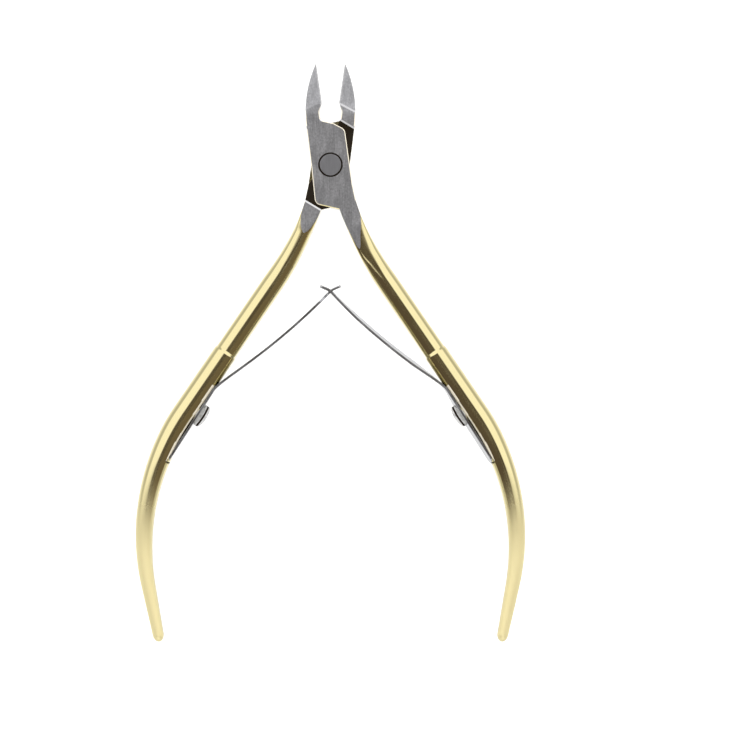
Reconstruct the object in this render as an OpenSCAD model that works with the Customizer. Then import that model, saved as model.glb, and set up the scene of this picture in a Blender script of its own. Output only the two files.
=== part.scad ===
// Cuticle nipper with a lap joint, a flush pivot pin and two interlocked leaf springs.
// It lies on its back face: +Y points to the jaw tips, +Z to the front, and the
// origin is where the pivot axis meets the surface that the nipper rests on.
// The head of each lever is drawn closed, with the cutting edges on the Y axis,
// and each lever is then turned out by half of the opening angle.

/* [Head] */
// Thickness of the jaws and of the joint, front to back
head_thick = 6.2; // [5:0.1:8]
// Width of the joint block, side to side
joint_w = 6.9; // [6:0.1:9]
// Angle between the two levers at rest, as the springs hold them open
open_angle = 16; // [10:0.5:20]
// Distance from the pivot to the upper end of the half-thick plate, at its inner corner
plate_top = 8; // [7:0.1:9.5]
// Distance from the pivot to the lower end of the half-thick plate, at its inner corner
plate_bottom = 8.1; // [7:0.1:9.5]
// Slope of the plate's ends and of the shoulders that face them, in degrees
shoulder_slope = 23; // [10:1:35]
// Room between a plate's end and the shoulder of the other lever, when closed
shoulder_gap = 0.4; // [0.25:0.05:0.6]
// Total room between the two plates at the middle of the joint
lap_clear = 0.06; // [0.04:0.01:0.1]

/* [Jaw] */
// Length of each cutting edge
blade_len = 7.5; // [3:0.1:9]
// Distance from the pivot to the heel of the cutting edge
heel_y = 11.4; // [10.6:0.1:14]
// Radius of the jaw's rounded outer side
jaw_round = 22; // [16:0.5:30]
// Depth of the notch behind the heel
notch_depth = 0.7; // [0.4:0.05:1.2]
// Drop of the ground face below the flat of the plate at the heel
heel_drop = 0.3; // [0.15:0.05:0.5]
// Length of the shallow run-out between the flat of the plate and the heel
runout_len = 1.9; // [1.4:0.1:2.4]
// Room between the two cutting edges when closed
edge_gap = 0.04; // [0.02:0.01:0.1]
// Angle of the ground front face of the blade, down towards the tip
face_slope = 12; // [8:0.5:14]
// Turn of the ground front face, so that it also falls outwards
face_turn = 20; // [0:1:30]
// Angle of the ground back face, up towards the tip
back_slope = 16.5; // [10:0.5:18]
// Relief angle behind the cutting edge
edge_relief = 22; // [12:1:30]
// Width of the honed bevel in front of the cutting edge
edge_bevel = 0.22; // [0.1:0.02:0.3]

/* [Pivot] */
// Radius of the pivot pin's flush head
pin_head_r = 2.05; // [1.8:0.05:2.2]
// Height of the pivot pin's head
pin_head_h = 1.5; // [1:0.1:2]
// Radius of the pivot pin's shank
pin_r = 1.3; // [1:0.05:1.5]
// Running clearance round the pivot pin
pin_clear = 0.03; // [0.02:0.01:0.08]
// Width of the chamfer round the pin's head, on the pin and on the lever
pin_chamfer = 0.15; // [0.1:0.05:0.3]
// Flare of the riveted tail of the pin
rivet_flare = 0.5; // [0.3:0.1:0.8]

/* [Handle] */
// Where the handle's centre line starts, to the side of the pivot
handle_x = 2.1; // [1.9:0.05:2.4]
// Where the handle's centre line starts, below the pivot
handle_y = 7.8; // [7.4:0.1:8.2]
// Direction in which the handle leaves the head, in degrees from straight down
start_turn = 11.5; // [8:0.5:16]
// Splay of the handle's straight stretch, in degrees from straight down
splay = 26.4; // [22:0.2:30]
// Length over which the handle turns from the head to its splay
neck_len = 14.6; // [12:0.2:18]
// Length of the straight stretch
straight_len = 29.8; // [24:0.2:36]
// Width of the handle where it leaves the head
root_w = 3.25; // [2.9:0.05:3.6]
// How far the handle keeps that width
root_len = 5; // [4:0.2:7]
// Radius of the bow that the palm holds
bow_r = 41; // [34:0.5:50]
// Direction of the tail, in degrees from straight down
tail_turn = -19.3; // [-24:0.1:-14]
// Length of the tail past the bow
tail_len = 10.3; // [8:0.1:13]
// Distance along the handle to the small step where the grip starts
step_at = 30.7; // [26:0.1:35]
// Length of the sloping ledge of the step
step_len = 0.45; // [0.25:0.05:0.7]
// Width of the handle above the step
neck_w = 3.95; // [3.4:0.05:4.8]
// Width of the handle below the step
grip_w = 4.3; // [3.6:0.1:5]
// Depth of the handle above the step, front to back
neck_d = 4.9; // [4.4:0.1:5.2]
// Depth of the handle below the step, front to back
grip_d = 5.6; // [5.3:0.1:6.2]
// Width of the handle at its end
tail_w = 1.9; // [1.6:0.1:2.6]
// Depth of the handle at its end, front to back
tail_d = 2.8; // [2.2:0.1:3.4]

/* [Springs] */
// Thickness of the spring leaf
leaf_t = 0.45; // [0.35:0.05:0.6]
// Width of the leaf at its foot
leaf_w = 4.4; // [3.8:0.1:5]
// Width of the leaf where the two springs cross
leaf_tip_w = 3; // [2.6:0.1:3.6]
// Distance along the handle to the middle of the spring seat
seat_at = 45.6; // [42:0.2:50]
// Length of the leaf's foot above the middle of its seat
foot_up = 7.6; // [6.4:0.2:9]
// Length of the leaf's foot below the middle of its seat
foot_down = 7.7; // [5:0.1:9]
// How far the springs rise from their bends to the point where they cross
blade_rise = 18; // [15:0.5:21]
// Lean of each spring at the crossing, in degrees from straight up
cross_lean = 44; // [38:1:50]
// Width of the tongue
tongue_w = 1.1; // [0.9:0.1:1.3]
// Room on each side of the tongue in the window
window_clear = 0.25; // [0.15:0.05:0.35]
// Half length of the window in the right spring
window_half = 1.15; // [1:0.05:1.4]
// Length of each spring past the crossing
lip_len = 2.1; // [1.8:0.1:2.6]
// Turn of the lip past the crossing, in degrees
lip_turn = 22; // [10:1:35]

/* [Spring screws] */
// Radius of the domed screw head
screw_head_r = 2.1; // [1.7:0.1:2.2]
// Height of the domed screw head
screw_head_h = 1.2; // [1:0.1:1.6]
// Radius of the screw's shank
screw_r = 0.85; // [0.7:0.05:1]
// Depth of the screw in the handle
screw_depth = 2.4; // [1.8:0.1:2.8]
// Distance from the spring's bend down to the screw
screw_drop = 5; // [3:0.2:6]
// Room round the screw's shank in the leaf
screw_clear = 0.1; // [0.05:0.05:0.2]
// Width of the screwdriver slot
slot_w = 0.5; // [0.4:0.05:0.7]
// Depth of the screwdriver slot
slot_d = 0.5; // [0.3:0.05:0.7]

/* [Hidden] */
$fn = 64;
gold = "goldenrod";
steel = "silver";
mid_z = head_thick / 2;
half_w = joint_w / 2;
far = 40;                      // larger than any head dimension
poke = 1;                      // how far a cut runs past the solid
corner_drop = 0.55;            // how far the plate's upper corner falls below its end
corner_r = 1.2;                // radius of the plate's outer corners
corner_out = 0.25;             // how far the plate widens towards its lower corner
notch_r = 0.5;                 // radius of the corners in the notch and the crotch
notch_len = 1.5;               // distance from the heel to the bottom of the notch
waist_y = -4;                  // where the joint block starts to lean into its arm
waist_r = 3;                   // radius of that bend
jaw_sides = 12;                // sides that draw the jaw's rounded outer side
jaw_widest_y = 7;              // distance from the pivot to the jaw's widest place
jaw_inset = 0.1;               // how far the jaw stays inside the joint block's width
bevel_back = 0.4;              // how far the honed bevel runs behind the heel
relief_back = 2.6;             // how far the relief runs behind the heel
honing = 45;                   // angle of the honed bevel
back_grind_start = 3;          // distance from the heel to the start of the back grind
arc_steps = 8;                 // sides that draw one rounded corner
handle_start = [handle_x, -handle_y];
bow_len = bow_r * (splay - tail_turn) * PI / 180;
handle_len = neck_len + straight_len + bow_len + tail_len;
end_round = 1.3;               // length over which the handle's end closes
boxy = 20;                     // squareness of the handle's section at the head
root_square = 4.5;             // squareness at the end of the handle's root
flat_side = 2.6;               // squareness of the inner side further down
oval = 2;                      // squareness of an ellipse
root_over = 1;                 // how much deeper than the head the handle starts
root_over_end = 0.26;          // the same at the end of its root
neck_over = 0.2;               // the same against the neck, where the straight starts
crown_shift = 0.2;             // how far the handle's root stands towards the plate's face
even_grip = 6;                 // length above the seat's end where the taper starts
bend_swell = 0.02;             // how much the round end at the bend stands out of the leaf
bend_outer_r = leaf_t / 2 + bend_swell;
bend_gap = 0.03;               // room between the foot and the blade at the bend
relief_cut = 0.2;              // depth of the relief in the seat under the bend
relief_len = 5;                // length of that relief past the bend
foot_r = 1.4;                  // radius of the corners of the leaf's foot
seat_room = 0.3;               // how much longer than the foot its seat is, at each end
arm_start = 0.1;               // where on the handle the head's outline hands over to it
inner_share = 0.46;            // share of the half width at which the plate's end turns
bend_reach = 2.5;              // how far the bend's direction carries into the blade
cross_reach = 16;              // how far the crossing's direction carries back
lip_bend_r = 1.5;              // radius of the bend at the start of the lip
blade_steps = 24;              // straight pieces that draw a blade's curve
lip_steps = 4;                 // the same for its lip
taper_r = 3;                   // radius where the leaf's taper ends
tip_r = 0.4;                   // radius of the leaf's end corners
shoulder_r = 0.3;              // radius in the corners beside the tongue
shoulder_room = 0.2;           // how far the tongue's shoulders stay inside the window's end

// ---- general functions ----
function unit(v) = v / norm(v);
function turned(p, a) = [p.x * cos(a) - p.y * sin(a), p.x * sin(a) + p.y * cos(a)];
function mix(a, b, t) = a + (b - a) * t;
// Direction h degrees from straight down, towards +X
function down(h) = [sin(h), -cos(h)];
// Direction h degrees from straight up, towards +X
function up(h) = [sin(h), cos(h)];
// Value at x on the line through the rows [x, value] of a table
function along(table, x, i = 0) =
    x <= table[0][0] ? table[0][1]
    : i >= len(table) - 1 ? table[len(table) - 1][1]
    : x <= table[i + 1][0]
        ? mix(table[i][1], table[i + 1][1], (x - table[i][0]) / (table[i + 1][0] - table[i][0]))
        : along(table, x, i + 1);
// Points of an outline whose corners [x, y, r] are rounded with radius r
function rounded(corners) = [
    for (i = [0:len(corners) - 1])
        let (n = len(corners),
             c = [corners[i].x, corners[i].y],
             before = corners[(i + n - 1) % n],
             after = corners[(i + 1) % n],
             u = unit([before.x, before.y] - c),
             v = unit([after.x, after.y] - c),
             r = corners[i].z,
             half = acos(max(-1, min(1, u * v))) / 2)
            each r == 0 ? [c] :
                let (centre = c + unit(u + v) * r / sin(half),
                     from = c + u * r / tan(half) - centre,
                     to = c + v * r / tan(half) - centre)
                    [for (k = [0:arc_steps])
                        let (t = k / arc_steps,
                             whole = acos(max(-1, min(1, unit(from) * unit(to)))))
                            centre + (from * sin((1 - t) * whole) + to * sin(t * whole)) / sin(whole)]
];
// Outline of a strip of thickness t whose middle runs through the points
function strip(points, t) =
    let (n = len(points),
         side = [for (i = [0:n - 1])
             let (d = unit(points[min(i + 1, n - 1)] - points[max(i - 1, 0)]))
                 [-d.y, d.x] * t / 2])
        concat([for (i = [0:n - 1]) points[i] + side[i]],
               [for (i = [n - 1:-1:0]) points[i] - side[i]]);

// ---- head of a lever, closed, with its jaw on -X and its handle on +X ----
jaw_centre = [jaw_round - half_w + jaw_inset, jaw_widest_y];
// Outer side of the jaw: an arc from the side of the block to the tip
function jaw_side(y) = jaw_centre.x - sqrt(pow(jaw_round, 2) - pow(y - jaw_centre.y, 2));
edge_x = -edge_gap / 2;
// Where the jaw's outer side would meet the cutting edge
jaw_top = jaw_centre.y + sqrt(pow(jaw_round, 2) - pow(jaw_centre.x - edge_x, 2));
tip_y = min(heel_y + blade_len, jaw_top);
arm_in = handle_point(arm_start) - outwards(arm_start) * root_w / 2;
arm_out = handle_point(arm_start) + outwards(arm_start) * root_w / 2;
slope = tan(shoulder_slope);
inner_x = half_w * inner_share;

function head_outline() = concat(
    rounded([
        [edge_x, heel_y, 0],
        [-notch_depth, heel_y - notch_len, notch_r],
        [-notch_depth, plate_top + shoulder_gap / 2, notch_r],
        [inner_x, plate_top - inner_x * slope, notch_r],
        [half_w, plate_top - half_w * slope - corner_drop, corner_r],
        [half_w, waist_y, waist_r],
        [arm_out.x, arm_out.y, 0],
        [arm_in.x, arm_in.y, 0],
        [-half_w - corner_out, half_w * slope - plate_bottom, corner_r],
        [-half_w, 0, 0]]),
    [for (k = [0:jaw_sides])
        let (y = mix(jaw_centre.y, tip_y, k / jaw_sides))
            [jaw_side(y), y]],
    [[edge_x, tip_y]]);

// Half plane above the line that the upper shoulder lies on
module above_shoulder() {
    translate([0, plate_top + shoulder_gap])
        rotate(shoulder_slope)
            translate([-far / 2, 0]) square(far);
}
// Half plane below the line that the lower shoulder lies on
module below_shoulder() {
    translate(arm_in)
        rotate(shoulder_slope)
            translate([-far / 2, -far]) square(far);
}
// Space that the other lever's plate takes, from z = low to z = high
module lap_space(low, high) {
    translate([0, 0, low])
        linear_extrude(high - low)
            difference() {
                square(far, center = true);
                above_shoulder();
                below_shoulder();
            }
}
heel_z = head_thick - heel_drop;
runout_slope = atan(heel_drop / 2 / runout_len);
// Stock ahead of the heel line and in front of the blade's ground face, with its run-out
module front_grind() {
    translate([0, heel_y, heel_z])
        rotate([0, 0, face_turn])
            rotate([-face_slope, 0, 0])
                translate([-far / 2, 0, 0]) cube(far);
    translate([0, heel_y - runout_len, head_thick])
        rotate([-runout_slope, 0, 0])
            translate([-far / 2, 0, 0]) cube(far);
}
module back_grind() {
    translate([0, heel_y - back_grind_start, 0])
        rotate([back_slope, 0, 0])
            translate([-far / 2, 0, -far]) cube(far);
}
// Slope of the cutting edge along the ground face
edge_fall = atan(tan(face_slope) * cos(face_turn));
// Stock on the inner side of the relief, and above the honed bevel
module edge_grind() {
    translate([edge_x, heel_y, heel_z - edge_bevel])
        rotate([-edge_fall, 0, 0]) {
            rotate([0, edge_relief, 0])
                translate([0, -relief_back, -far]) cube(far);
            rotate([0, honing, 0])
                translate([-far / 2, -bevel_back, 0]) cube(far);
        }
}

// ---- handle: a swept section that follows a neck, a straight, a bow and a tail ----
function heading(s) = along([[0, start_turn], [neck_len, splay],
                             [neck_len + straight_len, splay],
                             [neck_len + straight_len + bow_len, tail_turn]], s);
// Travel along an arc of length l whose heading goes from a to b
function arc_step(l, a, b) =
    abs(b - a) < 0.001 ? l * down(a)
    : l * 180 / PI / (b - a) * [cos(a) - cos(b), sin(a) - sin(b)];
function handle_point(s) =
    let (n = min(s, neck_len),
         m = max(0, min(s - neck_len, straight_len)),
         b = max(0, min(s - neck_len - straight_len, bow_len)),
         e = max(0, s - neck_len - straight_len - bow_len))
        handle_start + arc_step(n, start_turn, heading(n)) + m * down(splay)
        + arc_step(b, splay, heading(neck_len + straight_len + b)) + e * down(tail_turn);
// Unit vector from the centre line to the outer side of the handle
function outwards(s) = [cos(heading(s)), sin(heading(s))];

taper_at = seat_at + foot_down;
function handle_w(s) = along([[0, root_w], [root_len, root_w], [neck_len, neck_w],
                              [step_at, neck_w], [step_at + step_len, grip_w],
                              [taper_at - even_grip, grip_w], [handle_len, tail_w]], s);
function handle_d(s) = along([[0, head_thick + root_over], [root_len, head_thick + root_over_end],
                              [neck_len, neck_d + neck_over], [step_at, neck_d],
                              [step_at + step_len, grip_d], [taper_at, grip_d],
                              [handle_len, tail_d]], s);
// Squareness of the section: 2 is an ellipse, and more is boxier
function square_out(s) = along([[0, boxy], [root_len, root_square], [neck_len, oval]], s);
function square_in(s) = along([[0, boxy], [root_len, root_square], [neck_len, flat_side],
                               [taper_at, flat_side], [handle_len, oval]], s);
function crown(s) = along([[0, crown_shift], [neck_len, 0]], s);
function signed_pow(x, p) = sign(x) * pow(abs(x), p);
section_sides = 24;
// Share of the full section that is left where the end closes
smallest_ring = 0.1;
function closing(s) = s < handle_len - end_round ? 1
    : sqrt(max(pow(smallest_ring, 2), 1 - pow((s - handle_len + end_round) / end_round, 2)));
// One ring of the handle; side is 1 where the plate is in front and -1 where it is behind
function section(s, side) =
    let (o = outwards(s), c = handle_point(s), k = closing(s))
        [for (i = [0:section_sides - 1])
            let (a = (i + 0.5) * 360 / section_sides,
                 q = cos(a) > 0 ? square_out(s) : square_in(s),
                 u = signed_pow(cos(a), 2 / q) * k * handle_w(s) / 2,
                 v = signed_pow(sin(a), 2 / q) * k * handle_d(s) / 2)
                [c.x + o.x * u, c.y + o.y * u, mid_z + side * crown(s) + v]];
ring_gap = 2;
end_rings = 5;
straight_end = handle_len - end_round;
stations = concat(
    [for (s = [-ring_gap / 4:ring_gap:step_at - ring_gap / 2]) s],
    [step_at, step_at + step_len],
    [for (s = [step_at + ring_gap:ring_gap:straight_end - ring_gap / 2]) s],
    [for (k = [0:end_rings]) straight_end + end_round * sin(90 * k / end_rings)]);
module handle(side) {
    rings = [for (s = stations) section(s, side)];
    n = section_sides;
    m = len(rings);
    polyhedron(
        points = [for (r = rings) each r],
        faces = concat(
            [[for (i = [0:n - 1]) i]],
            [for (j = [0:m - 2], i = [0:n - 1])
                let (a = j * n + i, b = j * n + (i + 1) % n)
                    each [[a, a + n, b], [b, a + n, b + n]]],
            [[for (i = [n - 1:-1:0]) (m - 1) * n + i]]));
}

// ---- spring seat, on the inner side of the handle ----
seat_turn = heading(seat_at);
seat_cut = 0.1;                // depth of the flat seat in the handle
seat_inset = grip_w / 2 - seat_cut;
seat_point = handle_point(seat_at) - outwards(seat_at) * seat_inset;
// Puts children in the seat's frame: X inwards, away from the handle, Y up along the leaf
module at_seat() {
    translate([seat_point.x, seat_point.y, mid_z])
        rotate([0, 0, seat_turn])
            mirror([1, 0, 0]) children();
}
bend_in_seat = [leaf_t / 2, foot_up];
foot_end = foot_up - bend_outer_r - bend_gap;
screw_in_seat = foot_up - screw_drop;
// The bend's place in the closed lever's frame, and at rest
bend_closed = seat_point + turned([-bend_in_seat.x, bend_in_seat.y], seat_turn);
bend = turned(bend_closed, open_angle / 2);
foot_lean = -(seat_turn + open_angle / 2);
crossing = [0, bend.y + blade_rise];

// ---- spring leaves, at rest, drawn for the right spring ----
function bezier(p, t) =
    pow(1 - t, 3) * p[0] + 3 * t * pow(1 - t, 2) * p[1]
    + 3 * t * t * (1 - t) * p[2] + pow(t, 3) * p[3];
blade_guides = [bend, bend + bend_reach * up(foot_lean),
                crossing - cross_reach * up(-cross_lean), crossing];
lip_arc = lip_bend_r * lip_turn * PI / 180;
blade_line = concat(
    [for (k = [0:blade_steps]) bezier(blade_guides, k / blade_steps)],
    [for (k = [1:lip_steps])
        let (a = cross_lean + lip_turn * k / lip_steps)
            crossing + lip_bend_r * [cos(a) - cos(cross_lean), sin(a) - sin(cross_lean)]],
    [crossing + lip_bend_r * [cos(cross_lean + lip_turn) - cos(cross_lean),
                              sin(cross_lean + lip_turn) - sin(cross_lean)]
     + (lip_len - lip_arc) * up(-cross_lean - lip_turn)]);
chord = crossing - bend;
chord_len = norm(chord);
chord_lean = atan2(chord.y, chord.x) - 90;
// Puts children, drawn with Y along the blade and X across it, upright on the blade's chord
module on_chord() {
    translate([bend.x, bend.y, mid_z])
        rotate([0, 0, chord_lean])
            rotate([0, 90, 0])
                translate([0, 0, -far / 4])
                    linear_extrude(far / 2) children();
}
module blade_stock() {
    linear_extrude(head_thick) polygon(strip(blade_line, leaf_t));
    translate([bend.x, bend.y, 0]) cylinder(h = head_thick, r = bend_outer_r);
}
taper_end = chord_len - 2 * window_half;
blade_end = chord_len + lip_len;
shoulder_at = chord_len - window_half + shoulder_room;
module plain_leaf_outline() {
    polygon(rounded([
        [-leaf_w / 2, -leaf_t, 0], [leaf_w / 2, -leaf_t, 0],
        [leaf_tip_w / 2, taper_end, taper_r], [leaf_tip_w / 2, blade_end, tip_r],
        [-leaf_tip_w / 2, blade_end, tip_r], [-leaf_tip_w / 2, taper_end, taper_r]]));
}
module tongue_outline() {
    polygon(rounded([
        [-leaf_w / 2, -leaf_t, 0], [leaf_w / 2, -leaf_t, 0],
        [leaf_tip_w / 2, taper_end, taper_r], [tongue_w / 2, shoulder_at, shoulder_r],
        [tongue_w / 2, blade_end, tip_r], [-tongue_w / 2, blade_end, tip_r],
        [-tongue_w / 2, shoulder_at, shoulder_r], [-leaf_tip_w / 2, taper_end, taper_r]]));
}
module window_outline() {
    half = tongue_w / 2 + window_clear;
    translate([-half, chord_len - window_half]) square([2 * half, 2 * window_half]);
}
// The foot lies on the seat, in the seat's frame
module spring_foot() {
    at_seat()
        rotate([0, 90, 0])
            linear_extrude(leaf_t)
                difference() {
                    polygon(rounded([
                        [-leaf_w / 2, foot_end, 0],
                        [leaf_w / 2, foot_end, 0],
                        [leaf_w / 2, -foot_down, foot_r],
                        [-leaf_w / 2, -foot_down, foot_r]]));
                    translate([0, screw_in_seat]) circle(r = screw_r + screw_clear);
                }
}
module spring_screw() {
    dome_r = (pow(screw_head_r, 2) + pow(screw_head_h, 2)) / (2 * screw_head_h);
    at_seat()
        translate([leaf_t, screw_in_seat, 0])
            rotate([0, 90, 0])
                difference() {
                    union() {
                        intersection() {
                            translate([0, 0, screw_head_h - dome_r]) sphere(r = dome_r);
                            cylinder(h = screw_head_h + 1, r = screw_head_r + 1);
                        }
                        translate([0, 0, -leaf_t - screw_depth])
                            cylinder(h = leaf_t + screw_depth + 0.2, r = screw_r);
                    }
                    translate([-slot_w / 2, -far / 2, screw_head_h - slot_d])
                        cube([slot_w, far, far]);
                }
}
module seat_cuts() {
    at_seat() {
        translate([0, -foot_down - seat_room, -far / 2])
            cube([neck_w, foot_end + foot_down + seat_room, far]);
        translate([-relief_cut, foot_end, -far / 2])
            cube([neck_w, foot_up - foot_end + relief_len, far]);
        translate([-screw_depth - bend_gap, screw_in_seat, 0])
            rotate([0, 90, 0]) cylinder(h = screw_depth + poke, r = screw_r);
    }
}

// ---- a lever, closed, without its pivot hole; side is as for the handle's section ----
module lever(side) {
    lap_low = side > 0 ? -poke : mid_z - lap_clear / 2;
    lap_high = side > 0 ? mid_z + lap_clear / 2 : head_thick + poke;
    difference() {
        union() {
            difference() {
                linear_extrude(head_thick) polygon(head_outline());
                front_grind();
                back_grind();
                edge_grind();
            }
            intersection() {
                handle(side);
                translate([-far, -4 * far, 0]) cube([4 * far, 5 * far, head_thick]);
            }
        }
        lap_space(lap_low, lap_high);
        seat_cuts();
    }
}
module front_lever() {
    bore_r = pin_head_r + pin_clear;
    color(gold)
        rotate([0, 0, open_angle / 2])
            difference() {
                lever(1);
                cylinder(h = far, r = pin_r + pin_clear);
                translate([0, 0, head_thick - pin_head_h - pin_clear])
                    cylinder(h = far, r = bore_r);
                translate([0, 0, head_thick - pin_chamfer])
                    cylinder(h = 2 * pin_chamfer, r1 = bore_r, r2 = bore_r + 2 * pin_chamfer);
            }
}
module back_lever() {
    color(gold)
        rotate([0, 0, -open_angle / 2])
            mirror([1, 0, 0])
                difference() {
                    lever(-1);
                    translate([0, 0, -poke]) cylinder(h = far, r = pin_r);
                    cylinder(h = rivet_flare, r1 = pin_r + rivet_flare, r2 = pin_r);
                }
}
// The pin turns with the back lever: its head is flush with the front, its tail riveted at the back
module pivot_pin() {
    rivet_inset = 0.04;
    color(steel) {
        translate([0, 0, head_thick - pin_head_h])
            cylinder(h = pin_head_h - pin_chamfer, r = pin_head_r);
        translate([0, 0, head_thick - pin_chamfer])
            cylinder(h = pin_chamfer, r1 = pin_head_r, r2 = pin_head_r - pin_chamfer);
        translate([0, 0, rivet_inset]) cylinder(h = head_thick - pin_head_h, r = pin_r);
        translate([0, 0, rivet_inset])
            cylinder(h = rivet_flare, r1 = pin_r + rivet_flare - rivet_inset, r2 = pin_r);
    }
}

module right_spring_foot() {
    color(steel) rotate([0, 0, open_angle / 2]) spring_foot();
}
module right_spring_screw() {
    color(steel) rotate([0, 0, open_angle / 2]) spring_screw();
}
module right_spring_blade() {
    color(steel)
        intersection() {
            blade_stock();
            on_chord() difference() {
                plain_leaf_outline();
                window_outline();
            }
        }
}
module left_spring_foot() {
    mirror([1, 0, 0]) right_spring_foot();
}
module left_spring_screw() {
    mirror([1, 0, 0]) right_spring_screw();
}
module left_spring_blade() {
    color(steel)
        mirror([1, 0, 0])
            intersection() {
                blade_stock();
                on_chord() tongue_outline();
            }
}

front_lever();
back_lever();
pivot_pin();
right_spring_foot();
right_spring_blade();
right_spring_screw();
left_spring_foot();
left_spring_blade();
left_spring_screw();
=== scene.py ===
"""Cuticle nipper, seen from its front: two gold-plated levers with ground steel
flats, a flush pivot pin and two interlocked leaf springs that hold it open."""
import math
from types import SimpleNamespace

import bmesh
import bpy
import numpy as np
from bpy.props import (FloatProperty, FloatVectorProperty, IntProperty,
                       PointerProperty)
from mathutils import Matrix, Vector


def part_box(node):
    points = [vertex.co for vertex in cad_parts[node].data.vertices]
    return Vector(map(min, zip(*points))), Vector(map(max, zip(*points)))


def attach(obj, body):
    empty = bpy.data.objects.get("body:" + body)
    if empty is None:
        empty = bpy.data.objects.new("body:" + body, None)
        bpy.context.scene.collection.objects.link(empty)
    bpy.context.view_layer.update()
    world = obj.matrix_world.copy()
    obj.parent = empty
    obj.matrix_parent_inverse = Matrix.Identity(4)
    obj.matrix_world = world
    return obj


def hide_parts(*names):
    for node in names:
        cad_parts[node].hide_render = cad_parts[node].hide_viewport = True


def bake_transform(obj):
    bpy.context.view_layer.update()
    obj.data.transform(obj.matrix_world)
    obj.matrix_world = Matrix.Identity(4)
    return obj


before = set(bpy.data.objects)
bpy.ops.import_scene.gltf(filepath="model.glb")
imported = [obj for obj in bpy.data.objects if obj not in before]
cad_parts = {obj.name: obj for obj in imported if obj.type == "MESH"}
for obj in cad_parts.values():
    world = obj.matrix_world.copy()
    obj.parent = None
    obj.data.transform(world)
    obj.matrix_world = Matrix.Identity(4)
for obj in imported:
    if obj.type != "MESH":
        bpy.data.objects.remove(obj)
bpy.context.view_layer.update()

bl_info = {
    "name": "Cuticle nipper",
    "version": (1, 0, 0),
    "blender": (4, 5, 0),
    "location": "View3D > Sidebar > Nipper",
    "description": "Builds the levers, pin, leaf springs and screws of a cuticle nipper",
    "category": "Object",
}

MM = 0.001
# Thickness of the head, front to back, in mm: the origin lies on the back face
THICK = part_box("pivot_pin")[1].z / MM
MID = THICK / 2
# Longer than any cut, in mm
FAR = 40.0


# ---- sizes and colours ----
def hex_linear(text):
    """Linear RGBA of an sRGB hex colour."""
    part = [int(text[i:i + 2], 16) / 255 for i in (1, 3, 5)]
    return [c / 12.92 if c <= 0.04045 else ((c + 0.055) / 1.055) ** 2.4 for c in part] + [1.0]


def size_mm(name, default, what):
    return FloatProperty(name=name, description=what, default=default * MM, min=0.0,
                         unit="LENGTH", precision=5)


def in_mm(group):
    """The values of a group of sizes, with the lengths turned from metres into mm."""
    values = SimpleNamespace()
    for p in group.bl_rna.properties:
        if p.type in ("FLOAT", "INT"):
            value = getattr(group, p.identifier)
            setattr(values, p.identifier,
                    round(value / MM, 5) if p.unit == "LENGTH" else value)
    return values


def colour(name, default, what):
    return FloatVectorProperty(name=name, description=what, subtype="COLOR", size=4,
                               min=0.0, max=1.0, default=hex_linear(default))


class LeverSizes(bpy.types.PropertyGroup):
    """Sizes of the head and handle of each lever."""
    joint_w: size_mm("Joint width", 6.9, "Width of the joint block, side to side")
    open_half: FloatProperty(name="Half opening", subtype="ANGLE", default=math.radians(8),
                             description="Turn of each lever from closed to rest")
    rim: size_mm("Rim chamfer", 0.14, "Width of the polished chamfer round the head")
    shoulder_rim: size_mm("Shoulder chamfer", 0.3, "Width of the chamfer on the shoulders")
    section_sides: IntProperty(name="Section sides", default=96, min=24, max=160,
                               description="Sides of the handle's section")
    ring_gap: size_mm("Ring gap", 0.5, "Distance between two rings of the handle")


class SpringSizes(bpy.types.PropertyGroup):
    """Sizes of the leaf springs."""
    leaf_t: size_mm("Leaf thickness", 0.45, "Thickness of the spring leaf")
    leaf_w: size_mm("Leaf width", 4.4, "Width of the leaf at its foot")
    tip_w: size_mm("Tip width", 3.0, "Width of the leaf where the springs cross")
    tongue_w: size_mm("Tongue width", 1.1, "Width of the tongue")
    window_clear: size_mm("Window room", 0.25, "Room on each side of the tongue")
    window_half: size_mm("Half window", 1.15, "Half length of the window")
    sides: IntProperty(name="Section sides", default=32, min=12, max=64,
                       description="Sides of the leaf's rounded section")


class TurnedSizes(bpy.types.PropertyGroup):
    """Sizes of the turned pin and screws."""
    head_r: size_mm("Screw head radius", 2.1, "Radius of the domed screw head")
    head_h: size_mm("Screw head height", 0.95, "Height of the domed screw head")
    head_rim: size_mm("Screw head rim", 0.75, "Height of the straight rim under the dome")
    slot_w: size_mm("Slot width", 0.9, "Width of the screwdriver slot")
    slot_d: size_mm("Slot depth", 0.5, "Depth of the screwdriver slot")
    pin_r: size_mm("Pin head radius", 2.05, "Radius of the pivot pin's head")
    sides: IntProperty(name="Sides", default=96, min=24, max=160,
                       description="Sides of a turned piece")


class FinishColours(bpy.types.PropertyGroup):
    """Colours of the finishes."""
    gold: colour("Gold plate", "#EDE0AB", "Colour of the polished gold plating")
    ground: colour("Ground steel", "#ACACAF", "Colour of the ground flats")
    # Near-white colour of the painted highlight on the honed bevel, the ridge and the shoulder
    # chamfers
    honed: colour("Honed steel highlight", "#E2E2E4", "Colour of the painted highlight on the honed bevel, ridge and shoulders")
    spring: colour("Spring steel", "#B4B5B8", "Colour of the leaf springs")
    screw: colour("Nickel plate", "#CBCAC8", "Colour of the screws")
    pin: colour("Pin steel", "#9C9CA0", "Colour of the pin's ground head")
    # Pale colour of the painted highlight on the gold chamfers
    filed: colour("Filed edge", "#F2EAD6", "Colour of the plating over filed edges")
    # Near-black colour of the painted shade in the pin's groove and the screws' slots
    groove_shade_colour: colour("Groove shade", "#17120C", "Colour of the painted shade in the pin's groove and the screws' slots")
    floor: colour("Floor", "#F6F6F6", "Colour of the floor")


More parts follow.
